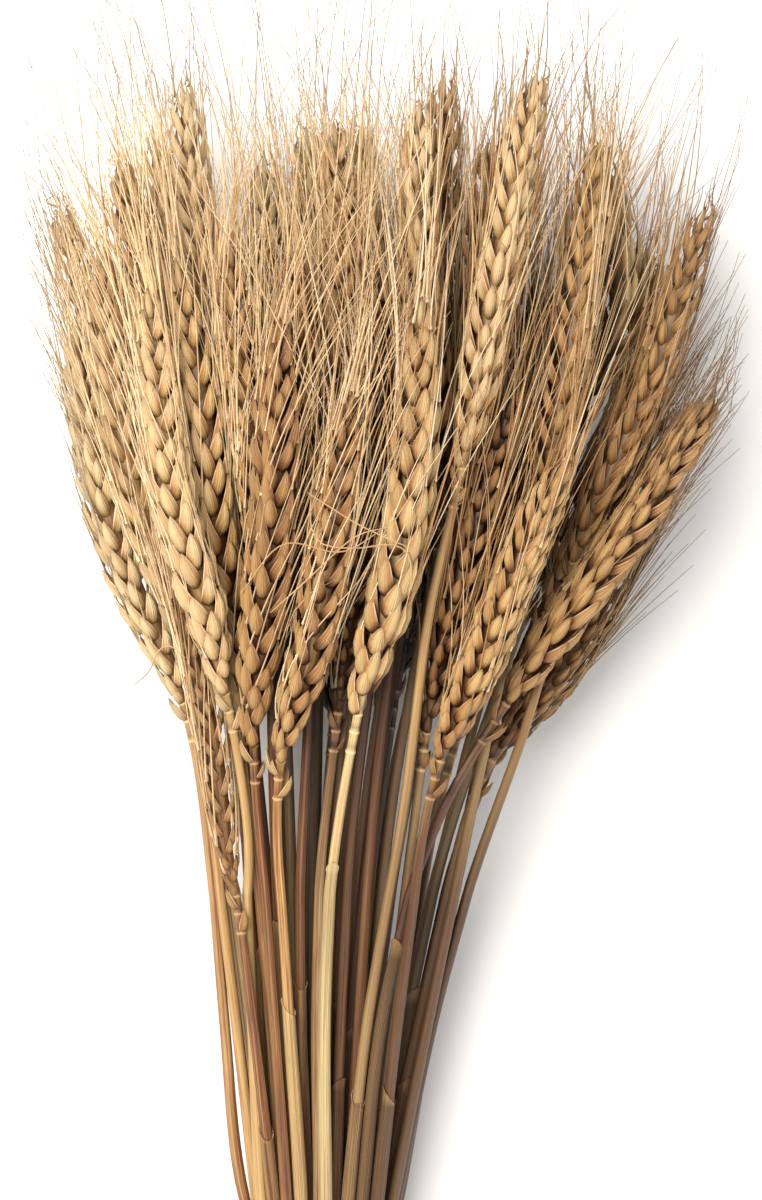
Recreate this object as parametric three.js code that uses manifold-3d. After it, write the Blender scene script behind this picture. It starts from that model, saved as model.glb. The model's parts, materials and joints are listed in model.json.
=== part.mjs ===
// A bundle of dried bearded wheat, lying on a surface with its ears towards +Y and its cut ends
// towards -Y. The origin is the point of the surface under the twine. Millimetres, +Z up.
//
// Each stalk is one body: straw, ear and awns grown together. The stalks are laid out first as
// centre lines over a set of cross-sections, pushed apart until none touches another, and then given
// their shape.

import * as THREE from 'three';
import { mergeVertices } from 'three/addons/utils/BufferGeometryUtils.js';
import Module from 'manifold-3d';

const wasm = await Module();
wasm.setup();

// Driving dimensions, in millimetres unless the name says otherwise.

const straw = {
  cutEnd: -55, // mean place of the cut ends along Y
  cutSpread: 7, // how far the cut ends differ in length
  radius: 1.45, // at the twine and below
  sheathRadius: 1.7, // where the leaf sheath wraps it
  sheathFrom: 45,
  neckRadius: 1.2, // just below the ear
  sides: 5,
  coveredSides: 4, // under other stalks
  rooted: 7, // how far it runs on inside the ear
  ringGap: 14, // the least from its ends to its nearest ring
};

const ear = {
  length: 98,
  radius: 6.2, // from the rachis to the tips of the florets
  keel: 0.84, // share of that radius at the fullest part of a floret
  crease: 0.42, // and between the rows of florets
  topCrease: 0.25, // and at the very top of the ear
  florets: 6, // in each of four rows
  hiddenFlorets: 4,
  awnEvery: 3, // besides the topmost florets, which all have one
  keelAt: 0.55, // where a floret is fullest, as a share of the pitch from its foot
  overhang: 0.34, // how far its tip lies over the next floret, as a share of the pitch
  uneven: 0.8, // how far the tips stray along the ear
  astray: 3, // and around it, in degrees
  roll: 16, // degrees that an ear may be rolled over to either side
};

const awn = {
  radius: 0.42, // where it leaves the floret
  shortest: 18, // a floret with less room than that has none
  least: 48, // the length of an awn with all the room that it wants lies between these two
  most: 69,
  topSpread: 9, // degrees away from the ear's own direction, at the top florets
  footSpread: 22, // the same, at the lowest florets
  astray: 50, // how far it may lean around the ear, in degrees
  upright: 0.3, // how far the awns of a leaning ear turn back to the length of the bundle
  clearance: 0.4, // to everything around
  tries: 12,
  step: 2.5, // between the places where the clearance is tested
  left: -78, // the awns end inside these limits across, along and up
  right: 108,
  far: 352,
  low: 0.7,
  high: 112,
};

const twine = {
  radius: 1.1,
  turns: 3,
  pitch: 2.1,
  sides: 5,
  steps: 14, // around one turn
  flat: 0.22, // how deep the underside is pressed flat
  halfBand: 8, // the straws run straight and level this far either side of the twine
};

// The knot lies left of the twine's crown, with a short end to either side.
const knot = { aside: -2, rise: 0.9, halfWidth: 3.4, halfLength: 3.1, halfHeight: 2.2 };
const looseEnds = {
  radius: 1,
  places: [[1.5, 0, 0.9], [6, -4.5, 1.2], [8.5, -11, 0.9]], // out from the knot, along and up
};

const gap = 0.48; // between neighbouring bodies
const layerDepth = 12; // from one layer of ears to the next one below it, where the bundle is deepest

// The cross-sections where the stalks are kept apart: a few along the bare straws, then close
// together along the ears.
const strawSections = [-65, -8, 8, 45, 85];
const earSections = { from: 120, step: 5, to: 335 };
const strawRing = 45; // between the rings of a straw up among the ears

// The outline of the bundle at places along its length: centre and half-sizes, across and up.
const girth = [
  { y: -65, x: 0, z: 11, halfWidth: 21, halfHeight: 9 },
  { y: 0, x: 0, z: 13.5, halfWidth: 15, halfHeight: 9.5 },
  { y: 45, x: 0, z: 18, halfWidth: 21, halfHeight: 13 },
  { y: 120, x: 4, z: 27, halfWidth: 32, halfHeight: 19 },
  { y: 170, x: 8, z: 34, halfWidth: 44, halfHeight: 27 },
  { y: 220, x: 12, z: 41, halfWidth: 64, halfHeight: 34 },
  { y: 270, x: 13, z: 43, halfWidth: 74, halfHeight: 36 },
  { y: 335, x: 12, z: 43, halfWidth: 70, halfHeight: 31 },
];

// The stalks seen from above. Each ear runs through three places from its foot to its tip, some
// straws pass through places of their own, and layer counts the ears lying over this one.
const seenStalks = [
  { ear: [[-24, 172], [-35, 222], [-43, 272]], layer: 0, straw: [[-20, 120]] },
  { ear: [[-22, 167], [-26, 220], [-37, 280]], layer: 0.9, straw: [[-16, 110]] },
  { ear: [[-17, 159], [-13, 208], [-10, 264]], layer: 0, straw: [[-14, 110]] },
  { ear: [[-11, 155], [1, 199], [8, 246]], layer: 0, straw: [[-10, 100]] },
  { ear: [[9, 167], [21, 213], [25, 269]], layer: 0, straw: [[1, 110]] },
  { ear: [[4, 167], [8, 198], [12, 240]], layer: 1.1, straw: [[-2, 110]], size: 0.86 },
  { ear: [[35, 228], [43, 272], [54, 327]], layer: 0.5, straw: [[28, 195], [18, 120], [10, 67]] },
  { ear: [[27, 162], [36, 204], [48, 247]], layer: 0.7, straw: [[20, 110]], size: 0.86 },
  { ear: [[29, 155], [43, 191], [61, 231]], layer: 0, straw: [[21, 110]] },
  { ear: [[46, 169], [70, 206], [98, 247]], layer: 0.2, straw: [[30, 141], [16, 100]] },
  { ear: [[41, 154], [62, 182], [83, 220]], layer: 1.5, straw: [[32, 120]] },
  { ear: [[66, 205], [82, 250], [97, 295]], layer: 0.7, straw: [[50, 158], [31, 100]] },
  { ear: [[55, 217], [63, 264], [70, 311]], layer: 0.8, straw: [[40, 150]] },
  { ear: [[21, 224], [23, 272], [24, 320]], layer: 1.2, straw: [[12, 130]] },
  { ear: [[30, 218], [36, 265], [43, 313]], layer: 1.9, straw: [[16, 130]] },
  { ear: [[26, 232], [29, 280], [31, 329]], layer: 2.4, straw: [[10, 120]] },
  { ear: [[-35, 169], [-52, 216], [-63, 266]], layer: 0.6, straw: [[-28, 120], [-22, 46]] },
  { ear: [[-36, 186], [-47, 230], [-56, 285]], layer: 0.6, straw: [[-27, 120]] },
  { ear: [[-40, 202], [-57, 255], [-68, 297]], layer: 1.5, straw: [[-26, 130]] },
  { ear: [[-21, 120], [-27, 162], [-37, 202]], layer: 0, straw: [[-17, 80]], size: 0.74 },
  { ear: [[-31, 212], [-42, 260], [-52, 307]], layer: 1.1, straw: [[-20, 140]] },
  { ear: [[-26, 230], [-31, 278], [-36, 327]], layer: 1.9, straw: [[-15, 130]] },
  { ear: [[-33, 222], [-39, 270], [-44, 317]], layer: 2.6, straw: [[-20, 130]] },
  { ear: [[-11, 212], [-14, 260], [-15, 307]], layer: 1.4, straw: [[-8, 120]] },
  { ear: [[-14, 190], [-18, 237], [-21, 285]], layer: 1.1, straw: [[-12, 120]] },
  { ear: [[-3, 187], [-5, 235], [-6, 283]], layer: 0.9, straw: [[-6, 110]] },
  { ear: [[0, 218], [-2, 266], [-4, 315]], layer: 2.2, straw: [[-3, 120]] },
  { ear: [[8, 219], [6, 267], [3, 315]], layer: 1.5, straw: [[2, 120]] },
  { ear: [[12, 184], [12, 231], [11, 279]], layer: 1.2, straw: [[6, 120]] },
  { ear: [[14, 220], [12, 268], [10, 316]], layer: 2.7, straw: [[5, 130]] },
  { ear: [[58, 192], [71, 238], [82, 284]], layer: 1.9, straw: [[38, 140]] },
  { ear: [[52, 210], [66, 258], [77, 305]], layer: 2.3, straw: [[34, 140]] },
  { ear: [[48, 162], [68, 203], [88, 245]], layer: 2.4, straw: [[30, 115]] },
];

// The stalks underneath and at the back are placed by rule.
const hidden = {
  count: 20,
  turn: 137.5, // degrees from one to the next around the bundle
  top: 0.1, // they stay below this share of the half-height
  bottom: -1.1, // and reach down to this one, where the surface holds them up
  footNear: 150,
  footFar: 232,
  shortest: 0.9, // of the full length of an ear
  roll: 45, // degrees, so that one row of florets faces down
  rollSpread: 12, // either way
};

const colours = {
  paleGold: 0xd9bc82,
  gold: 0xc9a566,
  greenGrey: 0xb4a777,
  brown: 0xa98454,
  twine: 0xb59a6c,
};

// Numbers, curves and chance.

const lerp = THREE.MathUtils.lerp;
const clamp = THREE.MathUtils.clamp;
const radians = THREE.MathUtils.degToRad;

// A repeatable draw between 0 and 1 for any pair of numbers.
function chance(a, b) {
  const wave = Math.sin(a * 12.9898 + b * 78.233 + 4.1) * 43758.5453;
  return wave - Math.floor(wave);
}

// A smooth line through knots of growing y, for the value called name.
function smoothAt(knots, name, y) {
  const last = knots.length - 1;
  if (y <= knots[0].y) return knots[0][name];
  if (y >= knots[last].y) return knots[last][name];
  let k = 0;
  while (y > knots[k + 1].y) k += 1;
  const slope = (i) => {
    const a = knots[Math.max(i - 1, 0)];
    const b = knots[Math.min(i + 1, last)];
    return (b[name] - a[name]) / (b.y - a.y);
  };
  const span = knots[k + 1].y - knots[k].y;
  const t = (y - knots[k].y) / span;
  const rise = knots[k + 1][name] - knots[k][name];
  const from = slope(k) * span;
  const to = slope(k + 1) * span;
  return knots[k][name] + t * from
    + t * t * (3 * rise - 2 * from - to)
    + t * t * t * (from + to - 2 * rise);
}

function girthAt(y) {
  return {
    x: smoothAt(girth, 'x', y),
    z: smoothAt(girth, 'z', y),
    halfWidth: smoothAt(girth, 'halfWidth', y),
    halfHeight: smoothAt(girth, 'halfHeight', y),
  };
}

// How full an ear is, from its foot at 0 to its tip at 1.
const earSwell = [
  { y: 0, size: 0.3 },
  { y: 0.09, size: 0.66 },
  { y: 0.22, size: 0.94 },
  { y: 0.4, size: 1 },
  { y: 0.68, size: 0.96 },
  { y: 0.88, size: 0.74 },
  { y: 1, size: 0.36 },
];

function strawRadius(stalk, y) {
  if (y < straw.sheathFrom) {
    const widening = (y - twine.halfBand) / (straw.sheathFrom - twine.halfBand);
    return lerp(straw.radius, straw.sheathRadius, clamp(widening, 0, 1));
  }
  const rise = clamp((y - straw.sheathFrom) / (stalk.foot - straw.sheathFrom), 0, 1);
  return lerp(straw.sheathRadius, straw.neckRadius, rise);
}

// The radius that a stalk fills at y, from its cut end to the tip of its ear.
function radiusAt(stalk, y) {
  if (y <= stalk.foot) return strawRadius(stalk, y);
  const along = (y - stalk.foot) / (stalk.tip - stalk.foot);
  return Math.max(straw.neckRadius, stalk.earRadius * smoothAt(earSwell, 'size', along));
}

// Layout: the knots of each stalk.

const deepest = Math.max(...girth.map(({ halfHeight }) => halfHeight));
const edge = 0.96; // how far across its half-width a stalk may lie

function seenStalk(plan, index) {
  const knots = [...plan.straw].reverse().concat(plan.ear).map(([x, y]) => {
    const g = girthAt(y);
    const across = clamp((x - g.x) / g.halfWidth, -edge, edge);
    const roof = g.z + g.halfHeight * Math.sqrt(1 - across * across);
    return { x, y, z: roof - plan.layer * layerDepth * g.halfHeight / deepest };
  });
  return {
    index,
    knots,
    foot: plan.ear[0][1],
    tip: plan.ear[2][1],
    hidden: false,
    sides: plan.layer < 1 ? straw.sides : straw.coveredSides,
    earRadius: ear.radius * (plan.size ?? 1),
    give: 0.25, // how readily it is pushed aside
    roll: radians(lerp(-ear.roll, ear.roll, chance(index, 1))),
  };
}

function hiddenStalk(index) {
  const i = index - seenStalks.length;
  const share = Math.sqrt((i + 0.5) / hidden.count);
  const angle = radians(hidden.turn * i);
  const across = share * Math.cos(angle);
  const up = lerp(hidden.top, hidden.bottom, Math.abs(share * Math.sin(angle)));
  const foot = lerp(hidden.footNear, hidden.footFar, chance(index, 2));
  const tip = foot + ear.length * lerp(hidden.shortest, 1, chance(index, 3));
  const knots = [earSections.from, foot, (foot + tip) / 2, tip].map((y) => {
    const g = girthAt(y);
    return { x: g.x + g.halfWidth * across * edge, y, z: g.z + g.halfHeight * up };
  });
  return {
    index,
    knots,
    foot,
    tip,
    hidden: true,
    sides: straw.coveredSides,
    earRadius: ear.radius,
    give: 1,
    roll: radians(hidden.roll + lerp(-hidden.rollSpread, hidden.rollSpread, chance(index, 1))),
  };
}

const stalks = seenStalks.map(seenStalk);
for (let i = 0; i < hidden.count; i += 1) stalks.push(hiddenStalk(seenStalks.length + i));

// The straws at the twine: drawn together as tightly as they fit.
const gathering = { rounds: 400, pullAcross: 0.018, pullUp: 0.03 };

function gatherAtTwine() {
  const floor = straw.radius + gap + 2 * twine.radius - twine.flat;
  const apart = 2 * straw.radius + gap;
  const centre = girthAt(0);
  for (const stalk of stalks) {
    const first = stalk.knots[0];
    const g = girthAt(first.y);
    stalk.gathered = {
      x: centre.x + (first.x - g.x) / g.halfWidth * centre.halfWidth,
      z: centre.z + (first.z - g.z) / g.halfHeight * centre.halfHeight,
    };
  }
  for (let round = 0; round < gathering.rounds; round += 1) {
    const ease = 1 - round / gathering.rounds;
    for (const { gathered } of stalks) {
      gathered.x -= gathering.pullAcross * ease * (gathered.x - centre.x);
      gathered.z -= gathering.pullUp * ease * (gathered.z - centre.z);
    }
    for (let i = 0; i < stalks.length; i += 1) {
      for (let j = i + 1; j < stalks.length; j += 1) {
        const a = stalks[i].gathered;
        const b = stalks[j].gathered;
        const dx = b.x - a.x;
        const dz = b.z - a.z;
        const distance = Math.hypot(dx, dz);
        if (distance >= apart) continue;
        const push = 0.5 * (apart - distance) / Math.max(distance, 1e-6);
        a.x -= dx * push;
        a.z -= dz * push;
        b.x += dx * push;
        b.z += dz * push;
      }
    }
    for (const { gathered } of stalks) gathered.z = Math.max(gathered.z, floor);
  }
}

gatherAtTwine();

// Below the twine the straws spread a little and sink to the surface.
const spread = { across: 1.45, up: 1.25 };

for (const stalk of stalks) {
  const { x, z } = stalk.gathered;
  const sunk = straw.radius + gap / 2 + (z - straw.radius - 2 * twine.radius - gap) * spread.up;
  stalk.butt = straw.cutEnd + straw.cutSpread * (chance(stalk.index, 4) - 0.5);
  stalk.knots.unshift({ x, y: twine.halfBand, z });
  stalk.knots.unshift({ x, y: -twine.halfBand, z });
  stalk.knots.unshift({ x: x * spread.across, y: strawSections[0], z: sunk });
}

// The lines over the cross-sections, pushed apart.
const sections = [...strawSections];
for (let y = earSections.from; y <= earSections.to; y += earSections.step) sections.push(y);

for (const stalk of stalks) {
  stalk.from = sections.findIndex((y) => y > stalk.butt) - 1;
  stalk.to = sections.findIndex((y) => y >= stalk.tip);
  stalk.line = sections.map((y) => ({
    x: smoothAt(stalk.knots, 'x', y),
    z: smoothAt(stalk.knots, 'z', y),
  }));
  stalk.wish = stalk.line.map(({ x, z }) => ({ x, z }));
}

function steepness(stalk, k) {
  const low = Math.max(k - 1, stalk.from);
  const high = Math.min(k + 1, stalk.to);
  const a = stalk.line[low];
  const b = stalk.line[high];
  const run = sections[high] - sections[low];
  return Math.hypot(1, (b.x - a.x) / run, (b.z - a.z) / run);
}

const settling = {
  rounds: 320,
  push: 0.55,
  smoothing: 0.2,
  wishing: 0.012, // the pull back to where a stalk should lie
  lastRounds: 80, // without that pull, and with less smoothing
  lastSmoothing: 0.08,
};

// How two stalks push each other between one cross-section and the next: apart at the place where
// they come closest, shared out to the two sections.
function pushApart(a, b, k) {
  const x0 = b.line[k].x - a.line[k].x;
  const z0 = b.line[k].z - a.line[k].z;
  const dx = b.line[k + 1].x - a.line[k + 1].x - x0;
  const dz = b.line[k + 1].z - a.line[k + 1].z - z0;
  const t = clamp(-(x0 * dx + z0 * dz) / (dx * dx + dz * dz + 1e-9), 0, 1);
  const x = x0 + t * dx;
  const z = z0 + t * dz;
  const distance = Math.hypot(x, z) + 1e-6;
  const apart = lerp(a.reach[k] + b.reach[k], a.reach[k + 1] + b.reach[k + 1], t) + gap;
  if (distance >= apart) return;
  const push = settling.push * (apart - distance) / distance / ((1 - t) ** 2 + t ** 2);
  const share = a.give / (a.give + b.give);
  for (const [section, weight] of [[k, 1 - t], [k + 1, t]]) {
    a.moves[section].x -= x * push * share * weight;
    a.moves[section].z -= z * push * share * weight;
    b.moves[section].x += x * push * (1 - share) * weight;
    b.moves[section].z += z * push * (1 - share) * weight;
  }
}

function settle() {
  for (let round = 0; round < settling.rounds; round += 1) {
    const last = round >= settling.rounds - settling.lastRounds;
    const smoothing = last ? settling.lastSmoothing : settling.smoothing;
    const wishing = last ? 0 : settling.wishing;
    for (const stalk of stalks) {
      stalk.reach = sections.map((y, k) => radiusAt(stalk, y) * steepness(stalk, k));
      stalk.moves = sections.map(() => ({ x: 0, z: 0 }));
    }
    for (let i = 0; i < stalks.length; i += 1) {
      for (let j = i + 1; j < stalks.length; j += 1) {
        const a = stalks[i];
        const b = stalks[j];
        const end = Math.min(a.to, b.to);
        for (let k = Math.max(a.from, b.from); k < end; k += 1) pushApart(a, b, k);
      }
    }
    for (const stalk of stalks) {
      for (let k = stalk.from; k <= stalk.to; k += 1) {
        if (Math.abs(sections[k]) <= twine.halfBand) continue;
        stalk.line[k].x += stalk.moves[k].x;
        stalk.line[k].z += stalk.moves[k].z;
      }
      const strayed = stalk.line.map(({ x, z }, k) => ({
        x: x - stalk.wish[k].x,
        z: z - stalk.wish[k].z,
      }));
      for (let k = stalk.from; k <= stalk.to; k += 1) {
        if (Math.abs(sections[k]) <= twine.halfBand) continue;
        const below = strayed[Math.max(k - 1, stalk.from)];
        const above = strayed[Math.min(k + 1, stalk.to)];
        for (const axis of ['x', 'z']) {
          const middle = (below[axis] + above[axis]) / 2;
          stalk.line[k][axis] += smoothing * (middle - strayed[k][axis]);
          stalk.line[k][axis] -= wishing * strayed[k][axis];
        }
        stalk.line[k].z = Math.max(stalk.line[k].z, stalk.reach[k]);
      }
    }
  }
}

settle();

// The cross-section at or below y.
function sectionBelow(y) {
  let k = 0;
  while (k < sections.length - 2 && sections[k + 1] <= y) k += 1;
  return k;
}

// The centre line of a stalk at any y.
function centreAt(stalk, y) {
  const k = sectionBelow(y);
  const t = (y - sections[k]) / (sections[k + 1] - sections[k]);
  const a = stalk.line[k];
  const b = stalk.line[k + 1];
  return new THREE.Vector3(lerp(a.x, b.x, t), y, lerp(a.z, b.z, t));
}

function directionAt(stalk, y) {
  const low = Math.max(y - earSections.step, stalk.butt);
  const high = Math.min(y + earSections.step, stalk.tip);
  return centreAt(stalk, high).sub(centreAt(stalk, low)).normalize();
}

// Solids.

// A closed round body through levels, each with a centre, a radius and the ways it faces.
function loft(sides, levels) {
  const geometry = new THREE.CylinderGeometry(1, 1, 1, sides, levels.length - 1);
  const position = geometry.attributes.position;
  const point = new THREE.Vector3();
  for (let i = 0; i < position.count; i += 1) {
    point.fromBufferAttribute(position, i);
    const level = levels[Math.round((point.y + 0.5) * (levels.length - 1))];
    const side = new THREE.Vector3().crossVectors(level.along, level.out).normalize();
    const place = level.at.clone()
      .addScaledVector(side, point.x * level.radius)
      .addScaledVector(level.out, point.z * level.radius);
    position.setXYZ(i, place.x, place.y, place.z);
  }
  return toSolid(geometry);
}

function toSolid(geometry) {
  geometry.deleteAttribute('normal');
  geometry.deleteAttribute('uv');
  const merged = mergeVertices(geometry, 1e-5);
  const corners = Array.from(merged.index.array);
  const kept = [];
  for (let i = 0; i < corners.length; i += 3) {
    const [a, b, c] = corners.slice(i, i + 3);
    if (a !== b && b !== c && c !== a) kept.push(a, b, c);
  }
  return new wasm.Manifold(new wasm.Mesh({
    numProp: 3,
    vertProperties: new Float32Array(merged.attributes.position.array),
    triVerts: new Uint32Array(kept),
  }));
}

function toMesh(solid, name, colour, roughness) {
  const { vertProperties, triVerts } = solid.getMesh();
  const geometry = new THREE.BufferGeometry();
  geometry.setAttribute('position', new THREE.BufferAttribute(vertProperties, 3));
  geometry.setIndex(new THREE.BufferAttribute(triVerts, 1));
  const material = new THREE.MeshStandardMaterial({ color: colour, roughness, metalness: 0 });
  const mesh = new THREE.Mesh(geometry, material);
  mesh.name = name;
  return mesh;
}

// Fuses solids into one body and drops hollows and scraps.
function fuse(solids) {
  const bodies = wasm.Manifold.union(solids).decompose();
  return bodies.reduce((best, body) => (body.volume() > best.volume() ? body : best));
}

const up = new THREE.Vector3(0, 0, 1);

// A direction square to along, turned by angle from straight up.
function outward(along, angle) {
  const top = up.clone().addScaledVector(along, -up.dot(along)).normalize();
  const side = new THREE.Vector3().crossVectors(along, top);
  return top.multiplyScalar(Math.cos(angle)).addScaledVector(side, -Math.sin(angle));
}

// A closed body from its corners and the triangles between them, each listed clockwise as it is seen
// from outside.
function closedSolid(points, faces) {
  return new wasm.Manifold(new wasm.Mesh({
    numProp: 3,
    vertProperties: new Float32Array(points.flatMap((point) => point.toArray())),
    triVerts: new Uint32Array(faces.flatMap(([a, b, c]) => [a, c, b])),
  }));
}

function makeStraw(stalk) {
  const places = sections.filter((y) => y > stalk.butt + straw.ringGap
    && y < stalk.foot - straw.ringGap
    && (y < earSections.from || (y - earSections.from) % strawRing === 0));
  const levels = [stalk.butt, ...places, stalk.foot, stalk.foot + straw.rooted].map((y) => {
    const along = directionAt(stalk, y);
    return { at: centreAt(stalk, y), along, out: outward(along, 0), radius: strawRadius(stalk, y) };
  });
  return loft(stalk.sides, levels);
}

// A point of the ear at y, some way out from the rachis.
function earPoint(stalk, y, angle, out) {
  return centreAt(stalk, y).addScaledVector(outward(directionAt(stalk, y), angle), out);
}

// The ear: four creases run along it, and between them four rows of florets stand out. The two rows
// on one side lie half a floret further on than those on the other. Each floret rises from its own
// patch between the creases to a keel and a tip, and some tips are drawn out into an awn.
function makeEar(stalk) {
  const perRow = stalk.hidden ? ear.hiddenFlorets : ear.florets;
  const halfSteps = 2 * perRow + 1;
  const pitch = (stalk.tip - stalk.foot) / (perRow + 0.5 + ear.overhang);
  const points = [];
  const faces = [];
  for (let k = 0; k <= halfSteps; k += 1) {
    const y = stalk.foot + k * pitch / 2;
    const share = k === halfSteps ? ear.topCrease : ear.crease;
    for (let c = 0; c < 4; c += 1) {
      points.push(earPoint(stalk, y, stalk.roll + c * Math.PI / 2, share * radiusAt(stalk, y)));
    }
  }
  const corner = (k, c) => 4 * k + c % 4;
  const patch = (k, c) => {
    faces.push([corner(k, c), corner(k, c + 1), corner(k + 1, c + 1)]);
    faces.push([corner(k, c), corner(k + 1, c + 1), corner(k + 1, c)]);
  };
  const add = (point) => points.push(point) - 1;
  for (let c = 0; c < 4; c += 1) {
    const late = c < 2 ? 0 : 1; // these rows start half a floret further on
    if (late) patch(0, c);
    else patch(halfSteps - 1, c);
    for (let n = 0; n < perRow; n += 1) {
      const k = 2 * n + late;
      const angle = stalk.roll + (c + 0.5) * Math.PI / 2;
      const floret = c * perRow + n;
      const loose = (channel) => lerp(-1, 1, chance(stalk.index, floret * 7 + channel));
      const back = stalk.foot + k * pitch / 2;
      const keelY = back + pitch * ear.keelAt;
      const tipY = Math.min(back + pitch * (1 + ear.overhang) + ear.uneven * loose(20), stalk.tip);
      const turn = angle + radians(ear.astray) * loose(21);
      const keel = add(earPoint(stalk, keelY, turn, ear.keel * radiusAt(stalk, keelY)));
      const a = corner(k, c);
      const b = corner(k, c + 1);
      const e = corner(k + 1, c + 1);
      const f = corner(k + 1, c);
      const g = corner(k + 2, c + 1);
      const d = corner(k + 2, c);
      faces.push([a, b, keel], [b, e, keel], [f, a, keel]);
      const tipPoint = earPoint(stalk, tipY, turn, radiusAt(stalk, tipY));
      const wantsAwn = n === perRow - 1 || (n > 0 && (n + 2 * c) % ear.awnEvery === 0);
      const grown = wantsAwn ? growAwn(stalk, floret, tipPoint, tipY, turn) : null;
      if (!grown) {
        const t = add(tipPoint);
        faces.push([e, t, keel], [e, g, t], [g, d, t], [d, f, t], [f, keel, t]);
        continue;
      }
      // The awn's three corners: on the keel, and to either side.
      const ringPoint = (at) => add(tipPoint.clone()
        .addScaledVector(outward(grown.direction, turn + at), awn.radius));
      const third = 2 * Math.PI / 3;
      const t0 = ringPoint(0);
      const t1 = ringPoint(third);
      const t2 = ringPoint(-third);
      const end = add(tipPoint.clone().addScaledVector(grown.direction, grown.length));
      faces.push([e, t1, keel], [t1, t0, keel], [t0, t2, keel], [f, keel, t2]);
      faces.push([d, f, t2], [d, t2, t1], [e, g, t1], [g, d, t1]);
      faces.push([t0, t1, end], [t1, t2, end], [t2, t0, end]);
    }
  }
  for (const k of [0, halfSteps]) {
    const [p, q, r, s] = [0, 1, 2, 3].map((c) => corner(k, c));
    if (k === 0) faces.push([p, r, q], [p, s, r]);
    else faces.push([p, q, r], [p, r, s]);
  }
  return closedSolid(points, faces);
}

// Awns already grown, as points over cross-sections, so that a new one keeps clear of them.
const grownAwns = [];

function awnTrack(from, direction, length) {
  const track = new Map();
  const end = from.y + length * direction.y;
  for (let k = Math.ceil(from.y / awn.step); k * awn.step <= end; k += 1) {
    const away = (k * awn.step - from.y) / direction.y;
    track.set(k, from.clone().addScaledVector(direction, away));
  }
  return track;
}

// How far a track runs clear, in steps.
function clearSteps(stalk, track, steep) {
  let steps = 0;
  for (const [k, point] of track) {
    const y = k * awn.step;
    if (point.z < awn.low || point.z > awn.high) return steps;
    if (point.x < awn.left || point.x > awn.right) return steps;
    for (const other of stalks) {
      if (y > other.tip + awn.step || (other === stalk && steps < 2)) continue;
      const level = Math.min(y, other.tip);
      const centre = centreAt(other, level);
      const fill = radiusAt(other, level) * (other === stalk ? 1 : other.steepest);
      const need = fill + awn.radius * steep + awn.clearance;
      if (Math.hypot(point.x - centre.x, point.z - centre.z) < need) return steps;
    }
    for (const grown of grownAwns) {
      if (!grown.track.has(k)) continue;
      const place = grown.track.get(k);
      const need = 2 * awn.radius * Math.max(steep, grown.steep) + awn.clearance;
      if (Math.hypot(point.x - place.x, point.z - place.z) < need) return steps;
    }
    steps += 1;
  }
  return steps;
}

function growAwn(stalk, floret, from, y, angle) {
  const ahead = directionAt(stalk, y);
  ahead.lerp(new THREE.Vector3(0, 1, 0), awn.upright).normalize();
  const along = (y - stalk.foot) / (stalk.tip - stalk.foot);
  const wanted = lerp(awn.least, awn.most, chance(stalk.index, floret + 60));
  let best = null;
  for (let n = 0; n < awn.tries; n += 1) {
    const spread = lerp(awn.footSpread, awn.topSpread, along);
    const tilt = radians(spread * lerp(0.6, 1.3, chance(stalk.index + 0.5, floret * 11 + n)));
    const lean = radians(lerp(-awn.astray, awn.astray, chance(stalk.index + 0.7, floret * 13 + n)));
    const direction = ahead.clone().multiplyScalar(Math.cos(tilt))
      .addScaledVector(outward(ahead, angle + lean), Math.sin(tilt)).normalize();
    const whole = Math.min(wanted, (awn.far - from.y) / direction.y);
    const track = awnTrack(from, direction, whole);
    const steep = 1 / direction.y;
    const steps = clearSteps(stalk, track, steep);
    const length = steps >= track.size ? whole : (steps - 1) * awn.step * steep;
    if (!best || length > best.length + 1) best = { direction, length, track, steep, steps };
    if (steps >= track.size) break;
  }
  if (best.length < awn.shortest) return null;
  for (const k of [...best.track.keys()].slice(best.steps)) best.track.delete(k);
  grownAwns.push(best);
  return best;
}

function makeStalk(stalk) {
  return fuse([makeStraw(stalk), makeEar(stalk)]);
}

// The twine: turns side by side, round the straws as they lie.

function twineCorner(angle, halfStep) {
  // The furthest reach of the straws each way gives lines that touch them, and corners between.
  const reach = (a) => {
    const out = stalks.map(({ gathered }) => gathered.x * Math.cos(a) + gathered.z * Math.sin(a));
    return Math.max(...out) + straw.radius + gap + twine.radius;
  };
  const a = angle - halfStep;
  const b = angle + halfStep;
  const turn = Math.sin(b - a);
  return {
    x: (reach(a) * Math.sin(b) - reach(b) * Math.sin(a)) / turn,
    z: (reach(b) * Math.cos(a) - reach(a) * Math.cos(b)) / turn,
  };
}

function makeTwine() {
  const halfStep = Math.PI / twine.steps;
  const corners = [];
  for (let i = 0; i < twine.steps; i += 1) corners.push(twineCorner(2 * i * halfStep, halfStep));
  const solids = [];
  for (let turn = 0; turn < twine.turns; turn += 1) {
    solids.push(ring(corners, twine.pitch * (turn - (twine.turns - 1) / 2)));
  }
  const crown = corners.reduce((best, corner) => (corner.z > best.z ? corner : best));
  const bulge = new THREE.SphereGeometry(1, 7, 5);
  bulge.scale(knot.halfWidth, knot.halfLength, knot.halfHeight);
  bulge.translate(crown.x + knot.aside, 0, crown.z + knot.rise);
  solids.push(toSolid(bulge));
  for (const side of [-1, 1]) solids.push(looseEnd(crown, side));
  const surface = new THREE.BoxGeometry(8 * girthAt(0).halfWidth, 4 * twine.halfBand, twine.radius);
  surface.translate(0, 0, -twine.radius / 2);
  return wasm.Manifold.union(solids).subtract(toSolid(surface));
}

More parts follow.
